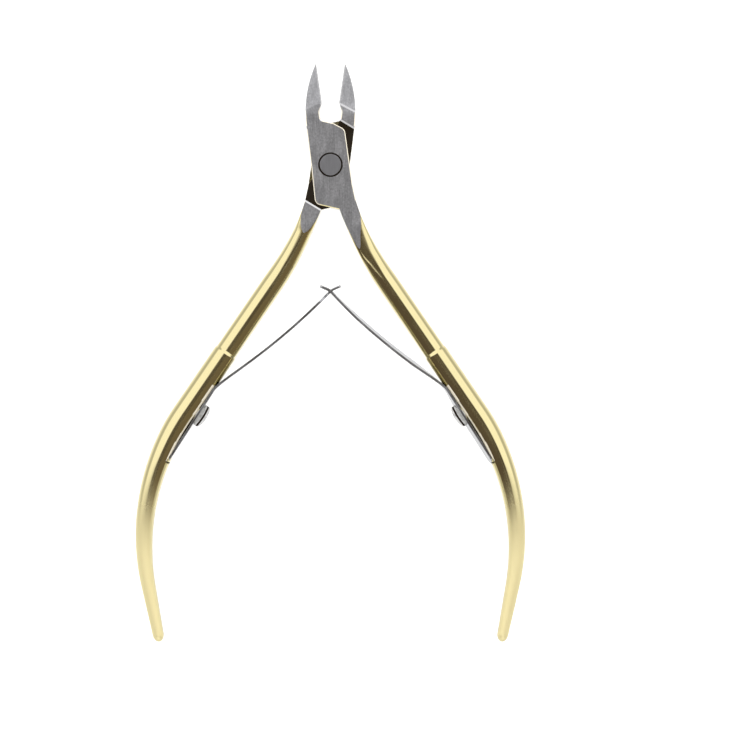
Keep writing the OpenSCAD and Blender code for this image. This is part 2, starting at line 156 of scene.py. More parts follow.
class StageSizes(bpy.types.PropertyGroup):
    """Framing and light."""
    view_x: FloatProperty(name="View centre X", default=0.00625, unit="LENGTH",
                          description="Where the camera looks, across")
    view_y: FloatProperty(name="View centre Y", default=-0.0362, unit="LENGTH",
                          description="Where the camera looks, along")
    span: FloatProperty(name="Framed width", default=0.1322, unit="LENGTH",
                        description="Width that the camera frames")
    lens: FloatProperty(name="Lens", default=400.0, unit="CAMERA",
                        description="Focal length in mm")


# ---- drawing helpers, in mm ----
def direction(degrees):
    """Unit vector that many degrees from straight down, towards +X."""
    a = math.radians(degrees)
    return Vector((math.sin(a), -math.cos(a)))


def table_value(table, x):
    """Value at x on the line through the rows (x, value) of a table."""
    return float(np.interp(x, [r[0] for r in table], [r[1] for r in table]))


def eased(table, x, reach=2.0):
    """The same, with the line's corners rounded over the reach."""
    return sum(table_value(table, x + reach * k / 4) for k in range(-4, 5)) / 9


def rounded(corners, steps=8):
    """Outline whose corners (x, y, radius) are rounded."""
    points = []
    n = len(corners)
    for i, (x, y, r) in enumerate(corners):
        c = Vector((x, y))
        if r == 0:
            points.append(c)
            continue
        u = (Vector(corners[i - 1][:2]) - c).normalized()
        v = (Vector(corners[(i + 1) % n][:2]) - c).normalized()
        half = math.acos(max(-1, min(1, u.dot(v)))) / 2
        centre = c + (u + v).normalized() * r / math.sin(half)
        a = c + u * r / math.tan(half) - centre
        b = c + v * r / math.tan(half) - centre
        whole = math.acos(max(-1, min(1, a.normalized().dot(b.normalized()))))
        for k in range(steps + 1):
            t = k / steps
            points.append(centre + (a * math.sin((1 - t) * whole)
                                    + b * math.sin(t * whole)) / math.sin(whole))
    return points


def inset(outline, distances):
    """The outline, anticlockwise, with each side moved in by its own distance."""
    result = []
    n = len(outline)
    for i in range(n):
        before = (outline[i] - outline[i - 1]).normalized()
        after = (outline[(i + 1) % n] - outline[i]).normalized()
        m, k = Vector((-before.y, before.x)), Vector((-after.y, after.x))
        d, e = distances[i - 1], distances[i]
        cross = m.x * k.y - m.y * k.x
        if abs(cross) < 1e-3:
            move = (m + k).normalized() * (d + e) / 2
        else:
            move = Vector(((d * k.y - e * m.y) / cross, (e * m.x - d * k.x) / cross))
        result.append(outline[i] + move)
    return result


def loft(rings, name):
    """Closed mesh through rings of equal numbers of points, capped at both ends."""
    made = bmesh.new()
    rows = [[made.verts.new(p) for p in ring] for ring in rings]
    n = len(rows[0])
    for low, high in zip(rows, rows[1:]):
        for i in range(n):
            j = (i + 1) % n
            made.faces.new((low[i], low[j], high[j], high[i]))
    made.faces.new(list(reversed(rows[0])))
    made.faces.new(rows[-1])
    bmesh.ops.recalc_face_normals(made, faces=made.faces)
    mesh = bpy.data.meshes.new(name)
    made.to_mesh(mesh)
    made.free()
    return mesh


def prism(outline, low, high, name):
    return loft([[(p[0], p[1], z) for p in outline] for z in (low, high)], name)


def block(low, high, matrix, name):
    """Box from corner to corner in its own frame, placed by the matrix."""
    outline = [(low[0], low[1]), (high[0], low[1]), (high[0], high[1]), (low[0], high[1])]
    mesh = prism(outline, low[2], high[2], name)
    mesh.transform(matrix)
    return mesh


def lathe(profile, sides, name):
    """Solid turned round Z from rows (radius, height), closed at both ends."""
    rings = [[(r * math.cos(2 * math.pi * i / sides), r * math.sin(2 * math.pi * i / sides), h)
              for i in range(sides)] for r, h in profile]
    return loft(rings, name)


def turned(x=0.0, y=0.0, z=0.0):
    """Turn by degrees about X, then Y, then Z."""
    return (Matrix.Rotation(math.radians(z), 4, "Z") @ Matrix.Rotation(math.radians(y), 4, "Y")
            @ Matrix.Rotation(math.radians(x), 4, "X"))


def evaluated(obj, name):
    """Plain mesh of the object with its modifiers, which are then removed with it."""
    bpy.context.view_layer.update()
    graph = bpy.context.evaluated_depsgraph_get()
    mesh = bpy.data.meshes.new_from_object(obj.evaluated_get(graph), depsgraph=graph)
    mesh.name = name
    bpy.data.objects.remove(obj)
    return mesh


def stand_in(mesh, name):
    obj = bpy.data.objects.new(name, mesh)
    bpy.context.scene.collection.objects.link(obj)
    return obj


def joined(base, tool, how):
    """Boolean of two closed meshes."""
    a, b = stand_in(base, "stock"), stand_in(tool, "tool")
    cut = a.modifiers.new("cut", "BOOLEAN")
    cut.solver, cut.operation, cut.object = "MANIFOLD", how, b
    mesh = evaluated(a, base.name)
    bpy.data.objects.remove(b)
    if not len(mesh.polygons):
        raise RuntimeError(f"{base.name}: nothing is left after {how} with {tool.name}")
    return mesh


def welded(mesh, distance=2e-4):
    """Merges doubles and dissolves slivers, and points the faces outwards."""
    made = bmesh.new()
    made.from_mesh(mesh)
    bmesh.ops.remove_doubles(made, verts=made.verts, dist=distance)
    bmesh.ops.dissolve_degenerate(made, edges=made.edges, dist=distance)
    bmesh.ops.recalc_face_normals(made, faces=made.faces)
    made.to_mesh(mesh)
    made.free()
    return mesh


def place(mesh, name, body, nodes, finishes, edge_angle=30):
    """Scales a mesh in mm to metres and makes it a piece of the body."""
    mesh.transform(Matrix.Scale(MM, 4))
    mesh.name = name
    index = [f.material_index for f in mesh.polygons]
    mesh.materials.clear()
    for f in finishes:
        mesh.materials.append(f)
    mesh.polygons.foreach_set("material_index", index)
    mesh.polygons.foreach_set("use_smooth", [True] * len(mesh.polygons))
    mesh.set_sharp_from_angle(angle=math.radians(edge_angle))
    obj = stand_in(mesh, name)
    if body:
        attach(obj, body)
    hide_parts(*nodes)
    return obj


# ---- node helper ----
def add(tree, kind, inputs=None, out=0, **settings):
    """Adds a node, sets it, links or fills its inputs, and gives one of its outputs."""
    made = tree.nodes.new(kind)
    for key, value in settings.items():
        setattr(made, key, value)
    for key, value in (inputs or {}).items():
        if isinstance(value, bpy.types.NodeSocket):
            tree.links.new(value, made.inputs[key])
        else:
            made.inputs[key].default_value = value
    return made if out is None or not len(made.outputs) else made.outputs[out]


def layout(tree):
    """Spreads the nodes so that the tree can be read."""
    for i, n in enumerate(tree.nodes):
        n.location = (220 * (i % 8), -260 * (i // 8))


BUILT = {}


def once(maker):
    """What a maker makes, a finish or a node tree, made only the first time."""
    if maker not in BUILT:
        BUILT[maker] = maker()
    return BUILT[maker]


# ---- geometry node trees ----
def tree_of(name, sockets):
    tree = bpy.data.node_groups.new(name, "GeometryNodeTree")
    tree.interface.new_socket("Geometry", in_out="INPUT", socket_type="NodeSocketGeometry")
    for label, kind, default in sockets:
        made = tree.interface.new_socket(label, in_out="INPUT", socket_type=kind)
        if default is not None:
            made.default_value = default
    tree.interface.new_socket("Geometry", in_out="OUTPUT", socket_type="NodeSocketGeometry")
    tree.is_modifier = True
    return tree


def tube_nodes(tree, group):
    """A closed tube with one ring for each point of the guide, and each ring's number."""
    count = add(tree, "GeometryNodeAttributeDomainSize",
                {"Geometry": group.outputs["Geometry"]}, out="Point Count", component="MESH")
    spaces = add(tree, "ShaderNodeMath", {0: count, 1: 1.0}, operation="SUBTRACT")
    tube = add(tree, "GeometryNodeMeshCylinder",
               {"Vertices": group.outputs["Sides"], "Side Segments": spaces, "Radius": 1.0,
                "Depth": spaces}, out="Mesh", fill_type="NGON")
    here = add(tree, "ShaderNodeSeparateXYZ", {0: add(tree, "GeometryNodeInputPosition")},
               out=None)
    half = add(tree, "ShaderNodeMath", {0: spaces, 1: 0.5}, operation="MULTIPLY")
    lifted = add(tree, "ShaderNodeMath", {0: here.outputs["Z"], 1: half}, operation="ADD")
    ring = add(tree, "ShaderNodeMath", {0: lifted}, operation="ROUND")
    return tube, here, ring


def sample(tree, group, ring, name, kind):
    """The guide's own value of a named attribute at the ring."""
    if name == "position":
        value = add(tree, "GeometryNodeInputPosition")
    else:
        value = add(tree, "GeometryNodeInputNamedAttribute", {"Name": name}, data_type=kind)
    return add(tree, "GeometryNodeSampleIndex",
               {"Geometry": group.outputs["Geometry"], "Value": value, "Index": ring},
               data_type=kind, domain="POINT")


def finish_tree(tree, group, mesh):
    real = add(tree, "GeometryNodeRealizeInstances", {"Geometry": mesh})
    done = add(tree, "GeometryNodeSetMaterial",
               {"Geometry": real, "Material": group.outputs["Finish"]})
    end = tree.nodes.new("NodeGroupOutput")
    tree.links.new(done, end.inputs[0])
    layout(tree)


def swept_bar_tree():
    """A bar that follows its guide, with a rounded section of changing width and depth."""
    tree = tree_of("Swept bar", [("Sides", "NodeSocketInt", 64),
                                 ("Finish", "NodeSocketMaterial", None)])
    group = tree.nodes.new("NodeGroupInput")
    tube, here, ring = tube_nodes(tree, group)
    at = {name: sample(tree, group, ring, name, "FLOAT")
          for name in ("square_in", "square_out", "half_w", "half_d", "lean", "skew")}
    outer = add(tree, "ShaderNodeMath", {0: here.outputs["X"], 1: 0.0},
                operation="GREATER_THAN")
    square = add(tree, "ShaderNodeMix",
                 {"Factor": outer, "A": at["square_in"], "B": at["square_out"]})
    power = add(tree, "ShaderNodeMath", {0: 2.0, 1: square}, operation="DIVIDE")
    reach = []
    for axis, name in (("X", "half_w"), ("Y", "half_d")):
        size = add(tree, "ShaderNodeMath", {0: here.outputs[axis]}, operation="ABSOLUTE")
        bent = add(tree, "ShaderNodeMath", {0: size, 1: power}, operation="POWER")
        sign = add(tree, "ShaderNodeMath", {0: here.outputs[axis]}, operation="SIGN")
        signed = add(tree, "ShaderNodeMath", {0: bent, 1: sign}, operation="MULTIPLY")
        reach.append(add(tree, "ShaderNodeMath", {0: signed, 1: at[name]},
                         operation="MULTIPLY"))
    share = add(tree, "ShaderNodeMath", {0: reach[0], 1: at["half_w"]}, operation="DIVIDE")
    less = add(tree, "ShaderNodeMath", {0: share, 1: at["lean"]}, operation="MULTIPLY")
    left = add(tree, "ShaderNodeMath", {0: 1.0, 1: less}, operation="SUBTRACT")
    height = add(tree, "ShaderNodeMath", {0: reach[1], 1: left}, operation="MULTIPLY")
    upright = add(tree, "ShaderNodeCombineXYZ", {"Z": height})
    skewed = add(tree, "ShaderNodeMath", {0: height, 1: at["skew"], 2: reach[0]},
                 operation="MULTIPLY_ADD")
    sideways = add(tree, "ShaderNodeVectorMath",
                   {0: sample(tree, group, ring, "across", "FLOAT_VECTOR"), "Scale": skewed},
                   operation="SCALE")
    off = add(tree, "ShaderNodeVectorMath", {0: sideways, 1: upright}, operation="ADD")
    spot = add(tree, "ShaderNodeVectorMath",
               {0: sample(tree, group, ring, "position", "FLOAT_VECTOR"), 1: off},
               operation="ADD")
    moved = add(tree, "GeometryNodeSetPosition", {"Geometry": tube, "Position": spot})
    finish_tree(tree, group, moved)
    return tree


def turned_piece_tree():
    """A piece turned round Z from its guide (X is the radius, Z the height), with a slot."""
    tree = tree_of("Turned piece", [("Sides", "NodeSocketInt", 64),
                                    ("Slot width", "NodeSocketFloat", 0.5),
                                    ("Slot floor", "NodeSocketFloat", 1.0),
                                    ("Finish", "NodeSocketMaterial", None)])
    group = tree.nodes.new("NodeGroupInput")
    tube, here, ring = tube_nodes(tree, group)
    row = add(tree, "ShaderNodeSeparateXYZ",
              {0: sample(tree, group, ring, "position", "FLOAT_VECTOR")}, out=None)
    x = add(tree, "ShaderNodeMath", {0: here.outputs["X"], 1: row.outputs["X"]},
            operation="MULTIPLY")
    y = add(tree, "ShaderNodeMath", {0: here.outputs["Y"], 1: row.outputs["X"]},
            operation="MULTIPLY")
    spot = add(tree, "ShaderNodeCombineXYZ", {"X": x, "Y": y, "Z": row.outputs["Z"]})
    moved = add(tree, "GeometryNodeSetPosition", {"Geometry": tube, "Position": spot})
    closed = add(tree, "GeometryNodeMergeByDistance", {"Geometry": moved, "Distance": 1e-4})
    size = add(tree, "ShaderNodeCombineXYZ",
               {"X": group.outputs["Slot width"], "Y": FAR, "Z": 10.0})
    cube = add(tree, "GeometryNodeMeshCube", {"Size": size}, out="Mesh")
    lift = add(tree, "ShaderNodeMath", {0: group.outputs["Slot floor"], 1: 5.0},
               operation="ADD")
    tool = add(tree, "GeometryNodeTransform",
               {"Geometry": cube,
                "Translation": add(tree, "ShaderNodeCombineXYZ", {"Z": lift})})
    cut = add(tree, "GeometryNodeMeshBoolean", {0: closed, 1: tool}, out="Mesh",
              operation="DIFFERENCE", solver="EXACT")
    finish_tree(tree, group, cut)
    return tree


def grown(tree, points, attributes, inputs, name):
    """Plain mesh that the tree makes from a guide of points with named attributes."""
    guide = bpy.data.meshes.new(name)
    guide.from_pydata([tuple(p) for p in points], [], [])
    for key, values in attributes.items():
        vector = hasattr(values[0], "__len__")
        made = guide.attributes.new(key, "FLOAT_VECTOR" if vector else "FLOAT", "POINT")
        made.data.foreach_set("vector" if vector else "value",
                              np.array(values, np.float32).ravel())
    obj = stand_in(guide, name)
    modifier = obj.modifiers.new("grow", "NODES")
    modifier.node_group = tree
    sockets = {s.name: s.identifier for s in tree.interface.items_tree
               if s.item_type == "SOCKET" and s.in_out == "INPUT"}
    for key, value in inputs.items():
        modifier[sockets[key]] = value
    return evaluated(obj, name)


# ---- handle: its centre line and sections, in the closed frame ----
START = Vector((2.1, -7.8))
NECK, STRAIGHT, BOW_R, TAIL = 14.6, 29.8, 41.0, 10.3
START_TURN, SPLAY, TAIL_TURN = 11.5, 26.4, -19.3
BOW = BOW_R * math.radians(SPLAY - TAIL_TURN)
HANDLE = NECK + STRAIGHT + BOW + TAIL
STEP, STEP_LEN = 30.7, 0.45
SEAT, FOOT_UP, FOOT_DOWN, SCREW_DROP = 45.6, 7.6, 7.7, 5.0
TAPER = SEAT + FOOT_DOWN
ROOT_W, NECK_W, GRIP_W, TAIL_W = 3.25, 3.95, 4.3, 1.55
NECK_D, GRIP_D, STEP_D, TAIL_D = 5.1, 4.9, 0.7, 2.1
END = 1.3


def heading(s):
    return table_value([(0, START_TURN), (NECK, SPLAY), (NECK + STRAIGHT, SPLAY),
                        (NECK + STRAIGHT + BOW, TAIL_TURN)], s)


def arc_travel(length, a, b):
    if abs(b - a) < 1e-3:
        return length * direction(a)
    p, q = math.radians(a), math.radians(b)
    return length / (q - p) * Vector((math.cos(p) - math.cos(q), math.sin(p) - math.sin(q)))


def handle_point(s):
    n, m = min(s, NECK), max(0.0, min(s - NECK, STRAIGHT))
    b = max(0.0, min(s - NECK - STRAIGHT, BOW))
    e = max(0.0, s - NECK - STRAIGHT - BOW)
    return (START + arc_travel(n, START_TURN, heading(n)) + m * direction(SPLAY)
            + arc_travel(b, SPLAY, heading(NECK + STRAIGHT + b)) + e * direction(TAIL_TURN))


def outwards(s):
    a = math.radians(heading(s))
    return Vector((math.cos(a), math.sin(a)))


def step_share(s):
    return max(0.0, min(1.0, (s - STEP) / STEP_LEN))


def handle_w(s):
    return (eased([(0, ROOT_W), (5, ROOT_W), (NECK, NECK_W), (TAPER - 6, NECK_W),
                   (HANDLE, TAIL_W)], s) + (GRIP_W - NECK_W) * step_share(s))


def handle_d(s):
    return (eased([(0, THICK + 1), (5, THICK + 0.26), (NECK, NECK_D), (STEP, GRIP_D),
                   (TAPER, GRIP_D), (HANDLE, TAIL_D)], s) + STEP_D * step_share(s))


def end_closing(s):
    over = (s - HANDLE + END) / END
    return 1.0 if over <= 0 else math.sqrt(max(0.01, 1 - over * over))


def handle_stations(gap):
    end = HANDLE - END
    count = int(round((STEP - 0.3) / gap))
    first = [-0.5 + (STEP - 0.2 + 0.5) * k / count for k in range(count + 1)]
    step = [STEP - 0.1, STEP - 0.03, STEP + 0.03, STEP + 0.12, STEP + 0.24, STEP + 0.36,
            STEP + STEP_LEN - 0.04, STEP + STEP_LEN + 0.04, STEP + STEP_LEN + 0.15]
    count = int(round((end - STEP - 1) / gap))
    rest = [STEP + 0.9 + (end - STEP - 0.9) * k / count for k in range(count + 1)]
    close = [end + END * math.sin(math.radians(90 * k / 14)) for k in range(1, 15)]
    return first + step + rest + close


def handle_mesh(side, sizes):
    """The handle, not yet cut to the head's thickness."""
    stations = handle_stations(sizes.ring_gap)
    points, across, w, d, q_out, q_in, leans = [], [], [], [], [], [], []
    # Where the flat runs out, the section is deeper on the inner side of the lever
    # with the front plate, and on the outer side of the other
    if side > 0:
        lean_rows = [(0, 0), (3, 0.05), (9, 0.05), (NECK, 0)]
        out_rows = [(0, 20), (3, 8), (6, 5), (9, 3), (NECK, 2)]
        in_rows = [(0, 20), (4, 10), (8.5, 8), (11, 4), (NECK, 2.6), (TAPER, 2.6), (HANDLE, 2)]
        root_rows = [(0, 0), (3.3, -0.52), (5, -0.46), (8, -0.18), (NECK, 0)]
    else:
        lean_rows = [(0, 0), (3, 0.01), (5, 0.025), (9, 0.02), (NECK, 0)]
        out_rows = [(0, 20), (3, 6), (5, 3), (NECK, 2)]
        in_rows = [(0, 20), (3, 6), (5, 3), (NECK, 2.6), (TAPER, 2.6), (HANDLE, 2)]
        root_rows = [(0, 0), (HANDLE, 0)]
    for s in stations:
        p, o, k = handle_point(s), outwards(s), end_closing(s)
        rise = table_value([(0, 0.2), (NECK, 0)], s)
        points.append((p.x, p.y, MID + side * rise))
        across.append((o.x, o.y, 0))
        leans.append(table_value(lean_rows, s))
        w.append(k * handle_w(s) / 2)
        d.append(k * (handle_d(s) + eased(root_rows, s, 1)) / 2)
        q_out.append(table_value(out_rows, s))
        q_in.append(table_value(in_rows, s))
    return grown(once(swept_bar_tree), points,
                 {"across": across, "half_w": w, "half_d": d, "square_out": q_out,
                  "square_in": q_in, "lean": leans, "skew": [0.0] * len(w)},
                 {"Sides": sizes.section_sides, "Finish": once(gold_plate)}, "handle")


# ---- head of a lever, closed, with its jaw on -X and its handle on +X ----
PLATE_TOP, PLATE_BOTTOM, SLOPE, GAP = 8.0, 8.1, 23.0, 0.4
BLADE, HEEL, JAW_R, NOTCH = 7.5, 11.4, 22.0, 0.7
HEEL_Z = THICK - 0.3
RUNOUT = 1.9
FACE_SLOPE, FACE_TURN, BACK_SLOPE, RELIEF = 12.0, 20.0, 16.5, 22.0
EDGE_X = -0.02
LAP_ROOM = 0.03
# How far below the heel each grind starts, how deep the run-out and the bevel go, and
# the lift, tilt and place of the fine ridge between the back lever's front grinds
BACK_START, RELIEF_START, BEVEL_START = 3.0, 2.6, 0.4
RUNOUT_DROP, BEVEL_DROP = 0.15, 0.22
RIDGE_LIFT, RIDGE_TILT, RIDGE_BACK = 0.006, 8.5, 0.37
# The corner of the arm's inner side with the plate, from which the lower shoulder starts
ARM_IN = handle_point(0.1) - outwards(0.1) * ROOT_W / 2
SLOPE_RAD = math.radians(SLOPE)
SHOULDER_HIGH = (PLATE_TOP + GAP) * math.cos(SLOPE_RAD)
SHOULDER_LOW = ARM_IN.y * math.cos(SLOPE_RAD) - ARM_IN.x * math.sin(SLOPE_RAD)


def seat_frame(turn=0.0):
    """Matrix of the spring seat: X points away from the handle, Y up along the leaf."""
    o = outwards(SEAT)
    p = handle_point(SEAT) - o * (GRIP_W / 2 - 0.1)
    return (turned(z=turn) @ Matrix.Translation((p.x, p.y, MID))
            @ turned(z=heading(SEAT)) @ Matrix.Scale(-1, 4, (1, 0, 0)))


def head_outline(sizes):
    """Outline of the head, clockwise, and which side is the handle's cap."""
    half = sizes.joint_w / 2
    slope = math.tan(math.radians(SLOPE))
    inner = half * 0.46
    arm = handle_point(0.1)
    o = outwards(0.1)
    arm_out, arm_in = arm + o * ROOT_W / 2, arm - o * ROOT_W / 2
    centre = Vector((JAW_R - half + 0.1, 7.0))
    tip = min(HEEL + BLADE, centre.y + math.sqrt(JAW_R ** 2 - (centre.x - EDGE_X) ** 2))
    points = rounded([
        (EDGE_X, HEEL, 0), (-NOTCH, HEEL - 1.5, 0.5), (-NOTCH, PLATE_TOP + GAP / 2, 0.5),
        (inner, PLATE_TOP - inner * slope, 0.5),
        (half, PLATE_TOP - half * slope - 0.55, 1.2), (half, -4, 3),
        (arm_out.x, arm_out.y, 0), (arm_in.x, arm_in.y, 0),
        (-half - 0.25, half * slope - PLATE_BOTTOM, 1.2), (-half, 0, 0)])
    for k in range(25):
        y = centre.y + (tip - centre.y) * k / 24
        points.append(Vector((centre.x - math.sqrt(JAW_R ** 2 - (y - centre.y) ** 2), y)))
    points.append(Vector((EDGE_X, tip)))
    kept = [p for i, p in enumerate(points) if (p - points[i - 1]).length > 1e-4]
    return kept, arm_out, arm_in


def head_mesh(sizes):
    outline, arm_out, arm_in = head_outline(sizes)
    outline.reverse()
    rim = sizes.rim
    distances = []
    for i, p in enumerate(outline):
        q = outline[(i + 1) % len(outline)]
        cap = (p - arm_in).length < 1e-4 and (q - arm_out).length < 1e-4
        distances.append(0.0 if cap else rim)
    small = inset(outline, distances)
    rings = [[(p.x, p.y, z) for p in ring] for ring, z in
             ((small, 0), (outline, 0.7 * rim), (outline, THICK - 0.7 * rim),
              (small, THICK))]
    return loft(rings, "head")


def lap_tool(side, sizes):
    """Space of the other lever's plate, flared where it opens, so the shoulders get a chamfer."""
    a, low, high, c = SLOPE_RAD, SHOULDER_LOW, SHOULDER_HIGH, sizes.shoulder_rim
    floor = MID - LAP_ROOM
    rows = [(low, floor), (high, floor), (high, THICK - 0.7 * c),
            (high + c + 2, THICK + 1.4), (low - c - 2, THICK + 1.4), (low, THICK - 0.7 * c)]
    if side > 0:
        rows = [(v, THICK - z) for v, z in rows]
    along, up = Vector((math.cos(a), math.sin(a))), Vector((-math.sin(a), math.cos(a)))
    rings = []
    for u in (-20, 20):
        rings.append([(along.x * u + up.x * v, along.y * u + up.y * v, z) for v, z in rows])
    return loft(rings, "lap")


def grinds(side):
    """The stock ground off the jaw: run-out, front face, back face, relief and honed bevel."""
    front = Matrix.Translation((0, HEEL, HEEL_Z)) @ turned(z=FACE_TURN) @ turned(x=-FACE_SLOPE)
    runout = (Matrix.Translation((0, HEEL - RUNOUT, THICK))
              @ turned(x=-math.degrees(math.atan(RUNOUT_DROP / RUNOUT))))
    back = Matrix.Translation((0, HEEL - BACK_START, 0)) @ turned(x=BACK_SLOPE)
    fall = math.degrees(math.atan(math.tan(math.radians(FACE_SLOPE))
                                  * math.cos(math.radians(FACE_TURN))))
    edge = Matrix.Translation((EDGE_X, HEEL, HEEL_Z - BEVEL_DROP)) @ turned(x=-fall)
    half = FAR / 2
    ridge = (Matrix.Translation((0, HEEL, HEEL_Z + RIDGE_LIFT)) @ turned(z=FACE_TURN)
             @ turned(x=-RIDGE_TILT) @ Matrix.Translation((0, -RIDGE_BACK, 0)))
    return [block((-half, 0, 0), (half, FAR, FAR), ridge, "ridge")] * (side < 0) + [
            block((-half, 0, 0), (half, FAR, FAR), front, "front_grind"),
            block((-half, 0, 0), (half, FAR, FAR), runout, "runout"),
            block((-half, 0, -FAR), (half, FAR, 0), back, "back_grind"),
            block((0, -RELIEF_START, -FAR), (FAR, FAR - RELIEF_START, 0),
                  edge @ turned(y=RELIEF), "relief"),
            block((-half, -BEVEL_START, 0), (half, FAR - BEVEL_START, FAR),
                  edge @ turned(y=45), "bevel")]


SEAT_ROOM, BEND_ROOM, BEND_CUT = 0.3, 0.275, 0.2
SCREW_SHANK_R, SCREW_SHANK, SCREW_HOLE = 0.85, 2.85, 2.43


def seat_tools():
    """The flat under the leaf's foot, the relief above it and the screw's hole."""
    seat = seat_frame()
    end = FOOT_UP - BEND_ROOM
    hole = lathe([(SCREW_SHANK_R, -SCREW_HOLE), (SCREW_SHANK_R, 1)], 48, "hole")
    hole.transform(seat @ Matrix.Translation((0, FOOT_UP - SCREW_DROP, 0)) @ turned(y=90))
    return [block((0, -FOOT_DOWN - SEAT_ROOM, -FAR / 2), (NECK_W, end, FAR / 2), seat, "seat"),
            block((-BEND_CUT, end, -FAR / 2), (NECK_W, FOOT_UP + 5, FAR / 2), seat, "relief"),
            hole]


PIN_SHANK_R, PIN_ROOM, PIN_HEAD_H, PIN_CHAMFER, RIVET_R = 1.3, 0.03, 1.5, 0.15, 1.8
BORE_SIDES = 128


def pin_tools(side, pin_r):
    """The pin's bore and its head's counterbore in front, or its countersunk rivet behind."""
    if side > 0:
        r, head = PIN_SHANK_R + PIN_ROOM, pin_r + PIN_ROOM
        floor, top = THICK - PIN_HEAD_H - PIN_ROOM, THICK - PIN_CHAMFER
        rows = [(r, -1), (r, floor), (head, floor), (head, top),
                (head + 1 + PIN_CHAMFER, THICK + 1)]
    else:
        rows = [(RIVET_R + 0.5, -0.5), (PIN_SHANK_R, RIVET_R - PIN_SHANK_R),
                (PIN_SHANK_R, THICK + 1)]
    return [lathe(rows, BORE_SIDES, "bore")]


# The order of a lever's finishes
GOLD, GROUND, STEEL_HIGHLIGHT, GROOVE_SHADE, RECESS_SHADE, GOLD_HIGHLIGHT = range(6)


def paint_lever(mesh, side):
    """Gives each face its finish by where it is and which way it points, in the closed frame;
    some finishes are painted highlight or painted shade.
    """
    index = []
    seat = seat_frame()
    to_seat, seat_x = seat.inverted(), seat.col[0].to_3d()
    for f in mesh.polygons:
        c, n = f.center, f.normal
        r = math.hypot(c.x, c.y)
        finish = GOLD
        if (c.z > THICK - 1e-3 and n.z > 0.99) or (c.z < 1e-3 and n.z < -0.99):
            finish = GROUND
        elif c.y > HEEL - RUNOUT - 0.01 and abs(n.z) > 0.9 and c.x < 0.5:
            finish = GROUND
        elif c.y > HEEL - BACK_START - 0.1 and n.z < -0.9 and c.x < 0.5:
            finish = GROUND
        # The honed cutting bevel gets the near-white steel: painted highlight
        if c.y > HEEL - BEVEL_START and c.x > -0.3 and 0.5 < n.z < 0.9 and 0.3 < abs(n.x):
            finish = STEEL_HIGHLIGHT
        elif c.y > HEEL - RELIEF_START - 0.1 and abs(n.x) > 0.8 and c.x > -2.2 and n.z < -0.2:
            finish = GROUND
        tilt = math.degrees(math.acos(max(-1, min(1, abs(n.z)))))
        # The fine ridge at the back lever's heel gets the near-white steel: painted highlight
        if (side < 0 and HEEL - 2 < c.y < HEEL + 1.5 and abs(tilt - RIDGE_TILT) < 1
                and n.z > 0):
            finish = STEEL_HIGHLIGHT
        # Gold chamfers of the head and arms, and the edge beside the spring seat, get the paler
        # gold: painted highlight
        if finish == GOLD and 20 < tilt < 60 and c.y > -7.6 and r > 2.4:
            finish = GOLD_HIGHLIGHT
        at_seat = to_seat @ Vector(c)
        facing = seat_x.dot(n)
        if (finish == GOLD and -0.5 < at_seat.x < -0.01 and abs(at_seat.y) < 8.3
                and 0.62 < facing < 0.87):
            finish = GOLD_HIGHLIGHT
        # The shoulder chamfers get the near-white steel: painted highlight
        v = -c.x * math.sin(SLOPE_RAD) + c.y * math.cos(SLOPE_RAD)
        if 20 < tilt < 60 and r > 3 and (abs(v - SHOULDER_HIGH) < 0.35
                                         or abs(v - SHOULDER_LOW) < 0.35):
            finish = STEEL_HIGHLIGHT
        # The bore's chamfer round the pin gets the near-black finish: painted shade in the groove
        if r < 2.4 and finish == GOLD:
            finish = GROOVE_SHADE
        # The lap's floor, set back in the recess, gets the half-dark gold: painted shade
        if abs(c.z - MID) < 0.05 and abs(n.z) > 0.99 and r > 2.3:
            finish = RECESS_SHADE
        index.append(finish)
    mesh.polygons.foreach_set("material_index", index)


def along_handle(mesh):
    """Stores where each point lies along and across the handle, for the polishing lines."""
    count = len(mesh.vertices)
    co = np.zeros(count * 3)
    mesh.vertices.foreach_get("co", co)
    co = co.reshape(-1, 3)
    stations = np.arange(-12, HANDLE + 0.5, 0.25)
    line = np.array([tuple(handle_point(s) if s >= 0 else START + direction(START_TURN) * s)
                     for s in stations.tolist()])
    out = np.array([tuple(outwards(max(s, 0))) for s in stations.tolist()])
    best = np.zeros(count, int)
    for i in range(0, count, 4000):
        d = ((co[i:i + 4000, None, :2] - line[None]) ** 2).sum(2)
        best[i:i + 4000] = d.argmin(1)
    rel = co[:, :2] - line[best]
    travel = np.stack([out[best][:, 1], -out[best][:, 0]], 1)
    s = stations[best] + (rel * travel).sum(1)
    u = (rel * out[best]).sum(1)
    made = mesh.attributes.new("polish", "FLOAT_VECTOR", "POINT")
    made.data.foreach_set("vector", np.stack([s, u, co[:, 2]], 1).astype(np.float32).ravel())


def lever_mesh(side, sizes, pin_r):
    """A whole lever in the closed frame; side is 1 where its plate is in front."""
    slab = block((-FAR, -4 * FAR, 0), (3 * FAR, FAR, THICK), Matrix(), "slab")
    body = joined(handle_mesh(side, sizes), slab, "INTERSECT")
    head = head_mesh(sizes)
    for tool in grinds(side):
        head = joined(head, tool, "DIFFERENCE")
    body = joined(head, body, "UNION")
    for tool in [lap_tool(side, sizes)] + seat_tools() + pin_tools(side, pin_r):
        body = joined(body, tool, "DIFFERENCE")
    return body


# ---- leaf springs, at rest, drawn for the right spring ----
# The leaf's rise from bend to crossing, its lean there, its lip, the pulls of its curve,
# the radii of its corners, its twist and the gap that the twist leaves at its foot
RISE, CROSS_LEAN, LIP_LEN, LIP_TURN, LIP_R = 18.0, 44.0, 2.1, 22.0, 1.5
FOOT_PULL, CROSS_PULL = 2.5, 16.0
FOOT_CORNER, LIP_CORNER = 1.4, 0.4
TWIST, STAND_OFF = 0.13, 0.12


def lean(degrees):
    a = math.radians(degrees)
    return Vector((math.sin(a), math.cos(a)))


